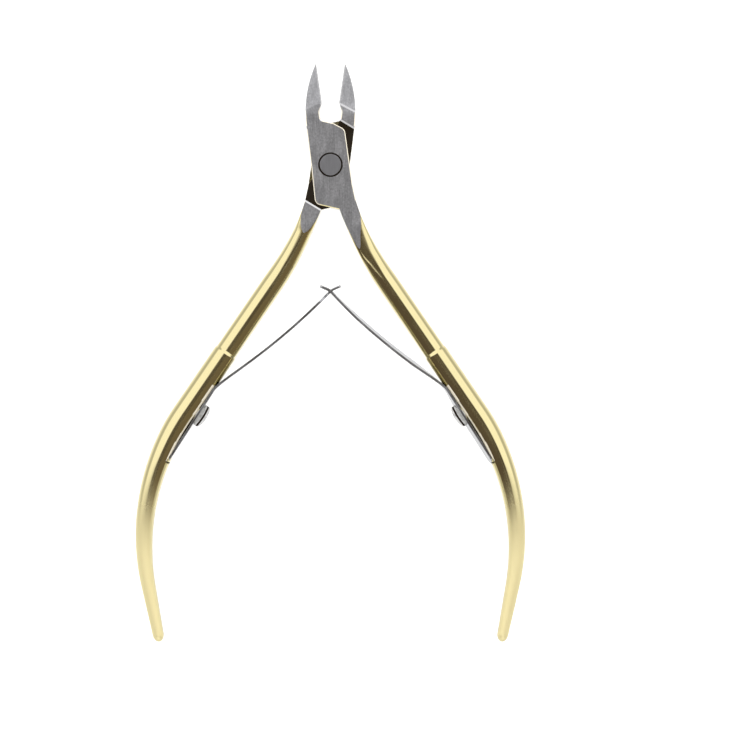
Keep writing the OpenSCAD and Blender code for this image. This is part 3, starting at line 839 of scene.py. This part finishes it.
def leaf_line(half_open, sizes):
    """Centre line of foot, bend, blade and lip, with each point's place along the leaf."""
    seat = seat_frame(half_open)
    bend = (seat @ Vector((sizes.leaf_t / 2, FOOT_UP, 0))).xy
    crossing = Vector((0, bend.y + RISE))
    foot_lean = -(heading(SEAT) + half_open)
    guides = [bend, bend + FOOT_PULL * lean(foot_lean),
              crossing - CROSS_PULL * lean(-CROSS_LEAN), crossing]
    points = []
    foot_rows = [0, .08, .2, .35, .55, .8, 1.1, 1.5]
    count = 30
    length = FOOT_DOWN + FOOT_UP
    rows = foot_rows + [1.5 + (length - 1.5) * (k + 1) / count for k in range(count - 1)]
    for r in rows:
        points.append(((seat @ Vector((sizes.leaf_t / 2, -FOOT_DOWN + r, 0))).xy, "foot", r))
    for k in range(97):
        t = k / 96
        p = ((1 - t) ** 3 * guides[0] + 3 * t * (1 - t) ** 2 * guides[1]
             + 3 * t * t * (1 - t) * guides[2] + t ** 3 * guides[3])
        points.append((p, "blade", t))
    arc = LIP_R * math.radians(LIP_TURN)
    a0 = math.radians(CROSS_LEAN)
    for k in range(1, 9):
        a = a0 + math.radians(LIP_TURN) * k / 8
        points.append((crossing + LIP_R * Vector((math.cos(a) - math.cos(a0),
                                                  math.sin(a) - math.sin(a0))), "lip", 0))
    last = points[-1][0]
    for k in range(1, 13):
        points.append((last + (LIP_LEN - arc) * k / 12 * lean(-CROSS_LEAN - LIP_TURN), "lip", 0))
    return points, bend, crossing


def leaf_mesh(half_open, tongue, sizes):
    """One spring: a rounded strip along its line, with a tongue or a window at its tip."""
    rows, bend, crossing = leaf_line(half_open, sizes)
    chord = crossing - bend
    length = chord.length
    way = chord / length
    points = [r[0] for r in rows]
    centre, across, w, d, q = [], [], [], [], []
    total = len(points)
    travel_left = [0.0] * total
    for i in range(total - 2, -1, -1):
        travel_left[i] = travel_left[i + 1] + (points[i + 1] - points[i]).length
    shoulder = length - sizes.window_half + 0.2
    # The right leaf has taken a slight twist, so that its outer face shows from the front,
    # and the same twist leaves its foot a little off the seat at the back
    twist, stand_off = (0.0, 0.0) if tongue else (TWIST, STAND_OFF)
    skews = []
    for i, (p, part, place_at) in enumerate(rows):
        t = (points[min(i + 1, total - 1)] - points[max(i - 1, 0)]).normalized()
        centre.append((p.x, p.y, MID))
        across.append((-t.y, t.x, 0))
        if part == "foot":
            k, corner = place_at, FOOT_CORNER
            half = sizes.leaf_w / 2
            if k < corner:
                half += math.sqrt(max(0, corner ** 2 - (corner - k) ** 2)) - corner
        else:
            c = (p - bend).dot(way)
            rows_w = [(-sizes.leaf_t, sizes.leaf_w / 2),
                      (length - 2 * sizes.window_half, sizes.tip_w / 2)]
            if tongue:
                rows_w += [(shoulder, sizes.tongue_w / 2), (length + 9, sizes.tongue_w / 2)]
                half = eased(rows_w, c, 0.25)
            else:
                rows_w += [(length + 9, sizes.tip_w / 2)]
                half = eased(rows_w, c, 0.8)
            left = travel_left[i]
            if left < LIP_CORNER:
                half += (math.sqrt(max(0, LIP_CORNER ** 2 - (LIP_CORNER - left) ** 2))
                         - LIP_CORNER)
        along = max(0.0, (p - bend).dot(way))
        if part == "foot":
            along = place_at - FOOT_DOWN - FOOT_UP
        off = stand_off * table_value([(-4, 1), (3, 0)], along)
        skews.append(twist * table_value([(1, 0), (8, 1), (length - 6, 1), (length - 1, 0.3)],
                                         along) - off)
        shift = off * sizes.leaf_w / 2
        centre[-1] = (p.x - t.y * shift, p.y + t.x * shift, MID)
        w.append(sizes.leaf_t / 2)
        d.append(max(half, 0.05))
        q.append(14 if half > 1 else 8)
    mesh = grown(once(swept_bar_tree), centre,
                 {"across": across, "half_w": w, "half_d": d, "square_out": q,
                  "square_in": q, "lean": [0.0] * total, "skew": skews},
                 {"Sides": sizes.sides, "Finish": once(spring_strip)}, "leaf")
    if not tongue:
        half = sizes.tongue_w / 2 + sizes.window_clear
        turn = math.degrees(math.atan2(chord.y, chord.x)) - 90
        frame_at = Matrix.Translation((bend.x, bend.y, MID)) @ turned(z=turn)
        hole = block((-5, length - sizes.window_half, -half),
                     (5, length + sizes.window_half, half), frame_at, "window")
        mesh = joined(mesh, hole, "DIFFERENCE")
    return mesh, bend, points


def leaf_attribute(mesh, points):
    """Stores where each point lies along the leaf and across it, for the rolling lines."""
    count = len(mesh.vertices)
    co = np.zeros(count * 3)
    mesh.vertices.foreach_get("co", co)
    co = co.reshape(-1, 3)
    line = np.array([tuple(p) for p in points])
    run = np.concatenate([[0], np.cumsum(np.linalg.norm(np.diff(line, axis=0), axis=1))])
    best = ((co[:, None, :2] - line[None]) ** 2).sum(2).argmin(1)
    made = mesh.attributes.new("polish", "FLOAT_VECTOR", "POINT")
    made.data.foreach_set("vector", np.stack([run[best], co[:, 2], co[:, 0] * 0], 1)
                          .astype(np.float32).ravel())


# ---- finishes ----
def shade(c, k):
    return [min(1.0, c[0] * k), min(1.0, c[1] * k), min(1.0, c[2] * k), 1.0]


def finish(name, key, metallic=1.0, k=1.0, specular=0.5):
    """A new material with a Principled shader: its tree, its shader and its colour."""
    base = shade(getattr(bpy.context.scene.nipper_colours, key), k)
    material = bpy.data.materials.new(name)
    material.use_nodes = True
    material.diffuse_color = base
    tree = material.node_tree
    tree.nodes.clear()
    shader = add(tree, "ShaderNodeBsdfPrincipled",
                 {"Metallic": metallic, "Base Color": base, "Specular IOR Level": specular},
                 out=None)
    add(tree, "ShaderNodeOutputMaterial", {"Surface": shader.outputs[0]})
    return material, tree, shader, base


def pattern(tree, source, stretch, detail=4.0):
    """Noise with about so many cycles to the mm along each axis of its source."""
    if source == "Object":
        at, per = add(tree, "ShaderNodeTexCoord", out="Object"), 1 / MM
    else:
        at, per = add(tree, "ShaderNodeAttribute", out="Vector", attribute_name=source), 1.0
    placed = add(tree, "ShaderNodeMapping",
                 {"Vector": at, "Scale": [per * s for s in stretch]})
    return add(tree, "ShaderNodeTexNoise", {"Vector": placed, "Scale": 1.0,
                                            "Detail": detail, "Roughness": 0.6})


def dress(tree, shader, rough, share, tints, height=None, bump=None):
    """Links a colour between two tints and, where there are any, the roughness and bump."""
    if rough is not None:
        tree.links.new(rough, shader.inputs["Roughness"])
    tree.links.new(add(tree, "ShaderNodeMix", {0: share, 6: tints[0], 7: tints[1]}, out=2,
                       data_type="RGBA"), shader.inputs["Base Color"])
    if bump:
        tree.links.new(add(tree, "ShaderNodeBump", {"Strength": bump[0], "Distance": bump[1],
                                                    "Height": height}),
                       shader.inputs["Normal"])
    layout(tree)


def surface(name, key, stretch, rough, tints, detail=4.0, metallic=1.0, k=1.0, bump=None,
            span=(0.3, 0.7), tint_span=None, specular=0.5):
    """A finish with one pattern, which varies its roughness, its tint and perhaps its height."""
    material, tree, shader, base = finish(name, key, metallic, k, specular)
    grain = share = pattern(tree, "Object", stretch, detail)
    dull = add(tree, "ShaderNodeMapRange",
               {0: grain, 1: span[0], 2: span[1], 3: rough[0], 4: rough[1]})
    if tint_span:
        share = add(tree, "ShaderNodeMapRange", {0: grain, 1: tint_span[0], 2: tint_span[1]})
    dress(tree, shader, dull, share, [shade(base, t) for t in tints], grain, bump)
    return material


def gold_plate():
    # Champagne gold electroplate over forged and belt-polished steel: a mirror-like
    # yellow metal with faint lines along the handle and a soft cloud of handling marks.
    material, tree, shader, base = finish("Polished gold plating on forged steel", "gold")
    lines = pattern(tree, "polish", (0.12, 5.0, 5.0))
    cloud = pattern(tree, "Object", (0.22, 0.22, 0.22), 3.0)
    run = add(tree, "ShaderNodeSeparateXYZ",
              {0: add(tree, "ShaderNodeAttribute", out="Vector", attribute_name="polish")},
              out="X")
    # The tails, which the palm rubs, are satin instead of mirror-bright: over these
    # stations of the handle the plating gets duller and scatters more
    polished, clouded, satin, metal = [
        add(tree, "ShaderNodeMapRange", {0: value, 1: low, 2: high, 3: first, 4: last},
            interpolation_type=how)
        for value, low, high, first, last, how in (
            (lines, 0.3, 0.7, 0.09, 0.15, "LINEAR"),
            (cloud, 0.35, 0.65, -0.015, 0.02, "LINEAR"),
            (run, 54.0, 72.0, 0.0, 0.34, "SMOOTHSTEP"),
            (run, 56.0, 74.0, 1.0, 0.55, "SMOOTHSTEP"))]
    rough = add(tree, "ShaderNodeMath", {0: polished, 1: satin}, operation="ADD")
    rough = add(tree, "ShaderNodeMath", {0: rough, 1: clouded}, operation="ADD")
    tree.links.new(metal, shader.inputs["Metallic"])
    dress(tree, shader, rough, cloud, (base, shade(base, 0.95)), lines, (0.12, 2e-6))
    return material


def filed_edge_highlight():
    # Gold plating over edges that were filed and buffed by hand: softer than the mirror-bright
    # plating, with short scratches across the edge, and paler as a painted highlight.
    return surface("Gold plating on a filed edge", "filed", (5.0, 5.0, 5.0), (0.36, 0.54),
                   (1.06, 1.0), metallic=0.4)


def ground_steel():
    # Carbon steel after plating, ground back on a fine wheel: satin grey with
    # parallel grinding lines along the jaw, drawn at about 9 to the mm.
    material, tree, shader, base = finish("Wheel-ground carbon steel", "ground")
    grain = pattern(tree, "Object", (9.0, 0.35, 2.0), 5.0)
    cloud = pattern(tree, "Object", (0.5, 0.25, 0.5), 3.0)
    speck = pattern(tree, "Object", (3.4, 2.6, 3.4), 2.0)
    mixed = add(tree, "ShaderNodeMath", {0: grain, 1: cloud}, operation="MULTIPLY")
    mixed = add(tree, "ShaderNodeMath", {0: mixed, 1: speck}, operation="MULTIPLY")
    dress(tree, shader,
          add(tree, "ShaderNodeMapRange", {0: grain, 1: 0.3, 2: 0.7, 3: 0.3, 4: 0.48}),
          add(tree, "ShaderNodeMapRange", {0: mixed, 1: 0.06, 2: 0.2}),
          (shade(base, 0.72), shade(base, 1.22)), grain, (0.35, 8e-6))
    return material


def honed_steel_highlight():
    # Edge steel honed on a fine stone, also put on the ridge and the shoulder chamfers: nearly
    # white as a painted highlight, with short lines across the bevel.
    return surface("Stone-honed edge steel", "honed", (2.0, 14.0, 2.0), (0.18, 0.32),
                   (0.9, 1.0))


def groove_shade_finish():
    # Painted shade in the groove round the pin and in the screws' slots: almost black and a
    # little waxy.
    return surface("Dried oil and grinding dust", "groove_shade_colour", (6.0, 6.0, 6.0), (0.45, 0.75),
                   (0.6, 2.2), metallic=0.0, specular=0.2)


def recess_shaded_gold():
    # Gold plate on the milled floor of the lap, duller than the polished outside; its colour is
    # set to half the gold's as painted shade, where the floor lies set back in the recess.
    return surface("Gold plating on a milled lap face", "gold", (3.0, 8.0, 3.0), (0.14, 0.3),
                   (0.7, 1.2), k=0.5, bump=(0.2, 6e-6))


def spring_strip():
    # Cold-rolled and tumbled spring steel: bright, with fine rolling lines along the
    # leaf, drawn at about 6 to the mm, and a few dull patches from tempering.
    material, tree, shader, base = finish("Cold-rolled spring steel", "spring")
    lines = pattern(tree, "polish", (0.15, 6.0, 1.0))
    cloud = pattern(tree, "polish", (0.3, 0.6, 1.0), 3.0)
    rough = add(tree, "ShaderNodeMath", {
        0: add(tree, "ShaderNodeMapRange", {0: lines, 1: 0.3, 2: 0.7, 3: 0.14, 4: 0.26}),
        1: add(tree, "ShaderNodeMapRange", {0: cloud, 1: 0.4, 2: 0.7, 3: 0.0, 4: 0.08})},
        operation="ADD")
    dress(tree, shader, rough, cloud, (base, shade(base, 0.85)), lines, (0.15, 3e-6))
    return material


def nickel_screw():
    # Nickel-plated steel, turned and barrel-tumbled: bright with small dull spots.
    return surface("Nickel-plated turned steel", "screw", (1.6, 1.6, 1.6), (0.12, 0.34),
                   (1.0, 0.45), detail=5.0, span=(0.4, 0.7), tint_span=(0.5, 0.68))


def pin_steel():
    # Pin head ground flush with the lever on the same wheel: satin grey, a little
    # darker than the plate, with the same lines.
    return surface("Flush-ground pin steel", "pin", (9.0, 0.4, 2.0), (0.3, 0.46),
                   (0.82, 1.1), detail=5.0, bump=(0.3, 8e-6))


def white_card():
    # Matt white card: even, with the faintest mottling of its fibres.
    material, tree, shader, base = finish("Matt white card", "floor", 0.0, specular=0.0)
    shader.inputs["Roughness"].default_value = 0.9
    fibres = pattern(tree, "Object", (0.5, 0.5, 0.5), 3.0)
    dress(tree, shader, None, fibres, (shade(base, 0.99), base))
    return material


# ---- operators ----
class NIPPER_OT_levers(bpy.types.Operator):
    """Both levers: chamfered head, ground jaw, lap, bowed handle and spring seat."""
    bl_idname = "nipper.levers"
    bl_label = "Build levers"

    def execute(self, context):
        sizes = in_mm(context.scene.nipper_levers)
        pin_r = in_mm(context.scene.nipper_turned).pin_r
        turn = math.degrees(sizes.open_half)
        finishes = [once(m) for m in (gold_plate, ground_steel, honed_steel_highlight,
                                      groove_shade_finish, recess_shaded_gold, filed_edge_highlight)]
        for name, side in (("front_lever", 1), ("back_lever", -1)):
            mesh = welded(lever_mesh(side, sizes, pin_r))
            paint_lever(mesh, side)
            along_handle(mesh)
            if side > 0:
                mesh.transform(turned(z=turn))
            else:
                mesh.transform(turned(z=-turn) @ Matrix.Scale(-1, 4, (1, 0, 0)))
                mesh.flip_normals()
            place(mesh, name + "_forging", name, [name], finishes)
        return {"FINISHED"}


class NIPPER_OT_springs(bpy.types.Operator):
    """Both leaf springs, each one bent strip, with a tongue in a window where they cross."""
    bl_idname = "nipper.springs"
    bl_label = "Build leaf springs"

    def execute(self, context):
        sizes = in_mm(context.scene.nipper_springs)
        turn = math.degrees(context.scene.nipper_levers.open_half)
        for name, lever in (("right", "front_lever"), ("left", "back_lever")):
            mesh, bend, points = leaf_mesh(turn, name == "left", sizes)
            welded(mesh)
            leaf_attribute(mesh, points)
            flip = -1 if name == "left" else 1
            if flip < 0:
                mesh.transform(Matrix.Scale(-1, 4, (1, 0, 0)))
                mesh.flip_normals()
            nodes = [f"{name}_spring_foot", f"{name}_spring_blade"]
            leaf = place(mesh, f"{name}_leaf_spring", None, nodes,
                         [once(spring_strip)])
            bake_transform(leaf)
        return {"FINISHED"}


# The screws lean towards the viewer by so many degrees, and bed into the leaf
SCREW_TILT, SCREW_SINK = 22.0, 0.05


class NIPPER_OT_screws(bpy.types.Operator):
    """The two domed, slotted screws that hold the springs."""
    bl_idname = "nipper.screws"
    bl_label = "Build spring screws"

    def execute(self, context):
        sizes = in_mm(context.scene.nipper_turned)
        leaf_t = in_mm(context.scene.nipper_springs).leaf_t
        turn = math.degrees(context.scene.nipper_levers.open_half)
        r, h, rim, shank = sizes.head_r, sizes.head_h, sizes.head_rim, SCREW_SHANK_R
        dome = (r * r + (h - rim) ** 2) / (2 * (h - rim))
        rows = [(0, -SCREW_SHANK), (shank - 0.15, -SCREW_SHANK), (shank, 0.15 - SCREW_SHANK),
                (shank, 0.0), (r - 0.12, 0.0), (r - 0.03, 0.03), (r, 0.1), (r, rim)]
        for k in range(1, 15):
            z = rim + (h - rim) * math.sin(math.radians(90 * k / 14))
            rows.append((math.sqrt(max(0, dome ** 2 - (z - h + dome) ** 2)), z))
        rows[-1] = (0, h)
        for name, lever in (("right", "front_lever"), ("left", "back_lever")):
            mesh = grown(once(turned_piece_tree), [(a, 0, b) for a, b in rows], {},
                         {"Sides": sizes.sides, "Slot width": sizes.slot_w,
                          "Slot floor": h - sizes.slot_d, "Finish": once(nickel_screw)},
                         "screw")
            obj = stand_in(mesh, "screw")
            soft = obj.modifiers.new("soft edges", "BEVEL")
            soft.width, soft.segments, soft.limit_method = 0.05, 2, "ANGLE"
            soft.angle_limit = math.radians(35)
            mesh = welded(evaluated(obj, "screw"), 1e-4)
            seat = (seat_frame(turn)
                    @ Matrix.Translation((leaf_t - SCREW_SINK, FOOT_UP - SCREW_DROP, -0.1))
                    @ turned(y=90 - SCREW_TILT))
            # Painted shade in the slot: its walls and floor get the near-black finish
            floor = h - sizes.slot_d
            index = [1 if abs(f.center.x) < sizes.slot_w / 2 + 0.01
                     and math.hypot(f.center.x, f.center.y) < r - 0.02
                     and floor - 0.02 < f.center.z
                     and (f.normal.z < 0.99 or f.center.z < floor + 0.02) else 0
                     for f in mesh.polygons]
            mesh.polygons.foreach_set("material_index", index)
            # The seat's frame is mirrored, so the faces are turned outwards again
            mesh.transform(seat)
            mesh.flip_normals()
            if name == "left":
                mesh.transform(Matrix.Scale(-1, 4, (1, 0, 0)))
                mesh.flip_normals()
            place(mesh, f"{name}_slotted_screw", lever, [f"{name}_spring_screw"],
                  [once(nickel_screw), once(groove_shade_finish)])
        return {"FINISHED"}


class NIPPER_OT_pin(bpy.types.Operator):
    """The pivot pin, with its flush ground head and riveted tail."""
    bl_idname = "nipper.pin"
    bl_label = "Build pivot pin"

    def execute(self, context):
        sizes = in_mm(context.scene.nipper_turned)
        r, low = sizes.pin_r, THICK - PIN_HEAD_H
        rows = [(0, 0.04), (RIVET_R - 0.2, 0.04), (RIVET_R - 0.08, 0.07),
                (PIN_SHANK_R, RIVET_R - PIN_SHANK_R), (PIN_SHANK_R, low), (r, low),
                (r, THICK - PIN_CHAMFER), (r - 0.13, THICK - 0.02), (r - 0.17, THICK),
                (0, THICK)]
        mesh = grown(once(turned_piece_tree), [(a, 0, b) for a, b in rows], {},
                     {"Sides": sizes.sides, "Slot width": 0.0, "Slot floor": FAR,
                      "Finish": once(pin_steel)}, "pin")
        welded(mesh, 1e-4)
        # The head's chamfer and rim, inside the groove round the pin, get the near-black finish:
        # painted shade
        index = [1 if r - 0.15 < math.hypot(f.center.x, f.center.y) and f.normal.z < 0.98 else 0
                 for f in mesh.polygons]
        mesh.polygons.foreach_set("material_index", index)
        place(mesh, "pivot_pin_turned", "back_lever", ["pivot_pin"],
              [once(pin_steel), once(groove_shade_finish)], 12)
        return {"FINISHED"}


# Half the floor's width, and its room under the part, in metres
FLOOR_HALF, FLOOR_ROOM = 3.0, 0.0001
# How far the tent's dark place overhead lies to the right, and where it starts and ends
OVERHEAD_TILT, OVERHEAD_WIDE, OVERHEAD_CORE = (math.radians(a) for a in (4.5, 17, 5))


class NIPPER_OT_stage(bpy.types.Operator):
    """Pale floor, soft studio light and a camera straight above."""
    bl_idname = "nipper.stage"
    bl_label = "Build stage"

    def execute(self, context):
        stage = context.scene.nipper_stage
        scene = context.scene
        mesh = bpy.data.meshes.new("floor")
        half, low = FLOOR_HALF, -FLOOR_ROOM
        mesh.from_pydata([(-half, -half, low), (half, -half, low), (half, half, low),
                          (-half, half, low)], [], [(0, 1, 2, 3)])
        mesh.materials.append(once(white_card))
        floor = stand_in(mesh, "floor")
        floor.visible_glossy = False
        self.light(scene)
        camera = bpy.data.cameras.new("camera")
        camera.lens, camera.sensor_width = stage.lens, 36.0
        distance = stage.span * stage.lens / 36.0
        camera.clip_start, camera.clip_end = 0.01, 20
        eye = bpy.data.objects.new("camera", camera)
        eye.location = (stage.view_x, stage.view_y, distance + MID * MM)
        scene.collection.objects.link(eye)
        scene.camera = eye
        scene.view_settings.view_transform = "Standard"
        return {"FINISHED"}

    def light(self, scene):
        """A bright tent, dark where the camera looks in and on the side nearest the viewer."""
        world = bpy.data.worlds.new("light tent")
        scene.world = world
        world.use_nodes = True
        tree = world.node_tree
        tree.nodes.clear()
        around = add(tree, "ShaderNodeTexCoord", out="Generated")
        way = add(tree, "ShaderNodeSeparateXYZ", {0: around}, out=None)
        x, y, z = (way.outputs[k] for k in "XYZ")
        side = add(tree, "ShaderNodeMath", {0: x}, operation="ABSOLUTE")
        side = add(tree, "ShaderNodeMath", {0: side, 1: 0.02}, operation="ADD")
        below = add(tree, "ShaderNodeMath", {0: y, 1: side}, operation="DIVIDE")
        over = add(tree, "ShaderNodeVectorMath",
                   {0: around, 1: (math.sin(OVERHEAD_TILT), 0, math.cos(OVERHEAD_TILT))},
                   out="Value", operation="DOT_PRODUCT")
        # Soft steps from 0 to 1: what is measured, and where each step starts and ends
        steps = {name: add(tree, "ShaderNodeMapRange", {0: value, 1: low, 2: high},
                           interpolation_type="SMOOTHSTEP")
                 for name, value, low, high in (
                     ("near", below, -1.5, -1.0), ("nearer", below, -3.0, -2.0),
                     ("steep", z, 0.3, 0.6), ("far", below, 0.25, -0.25),
                     ("right", x, -0.1, 0.1), ("low", z, -0.75, -0.45),
                     ("up", z, -0.06, 0.06),
                     ("over", over, math.cos(OVERHEAD_WIDE), math.cos(OVERHEAD_CORE)))}
        # Two dark flags stand left and right of the viewer, wider higher up
        for name, how, a, b in (("nearer", "MULTIPLY", "nearer", "steep"),
                                ("near", "MAXIMUM", "near", "nearer"),
                                ("flagged", "MULTIPLY", "near", "far")):
            steps[name] = add(tree, "ShaderNodeMath", {0: steps[a], 1: steps[b]}, operation=how)
        # The tent is bright, as is the ground near the part, and brighter than any hex colour
        tones = {"tent": [1.2, 1.2, 1.2, 1], "ground": [1.1, 1.1, 1.1, 1],
                 "far ground": hex_linear("#CBCBC8"), "left flag": hex_linear("#5B524B"),
                 "right flag": hex_linear("#716759"), "overhead": hex_linear("#59524B")}
        for name, step, a, b in (("flags", "right", "left flag", "right flag"),
                                 ("tent", "flagged", "tent", "flags"),
                                 ("tent", "over", "tent", "overhead"),
                                 ("ground", "low", "ground", "far ground"),
                                 ("all", "up", "ground", "tent")):
            tones[name] = add(tree, "ShaderNodeMix", {0: steps[step], 6: tones[a], 7: tones[b]},
                              out=2, data_type="RGBA")
        sky = add(tree, "ShaderNodeBackground", {"Color": tones["all"], "Strength": 1.0})
        add(tree, "ShaderNodeOutputWorld", {"Surface": sky})
        sun = bpy.data.lights.new("floor lamp", "SUN")
        sun.energy, sun.angle = 3.0, math.radians(3)
        lamp = bpy.data.objects.new("floor lamp", sun)
        lamp.visible_glossy = False
        scene.collection.objects.link(lamp)


class NIPPER_PT_panel(bpy.types.Panel):
    """Lists the builders."""
    bl_idname = "NIPPER_PT_panel"
    bl_label = "Cuticle nipper"
    bl_space_type = "VIEW_3D"
    bl_region_type = "UI"
    bl_category = "Nipper"

    def draw(self, context):
        for op in OPERATORS:
            self.layout.operator(op.bl_idname)


GROUPS = {"nipper_levers": LeverSizes, "nipper_springs": SpringSizes,
          "nipper_turned": TurnedSizes, "nipper_colours": FinishColours,
          "nipper_stage": StageSizes}
OPERATORS = (NIPPER_OT_levers, NIPPER_OT_springs, NIPPER_OT_screws, NIPPER_OT_pin,
             NIPPER_OT_stage)


def register():
    for c in (*GROUPS.values(), *OPERATORS, NIPPER_PT_panel):
        bpy.utils.register_class(c)
    for name, group in GROUPS.items():
        setattr(bpy.types.Scene, name, PointerProperty(type=group))


def unregister():
    for name in GROUPS:
        delattr(bpy.types.Scene, name)
    for c in reversed((*GROUPS.values(), *OPERATORS, NIPPER_PT_panel)):
        bpy.utils.unregister_class(c)


def main():
    register()
    for op in OPERATORS:
        area, name = op.bl_idname.split(".")
        getattr(getattr(bpy.ops, area), name)()


if __name__ == "__main__":
    main()
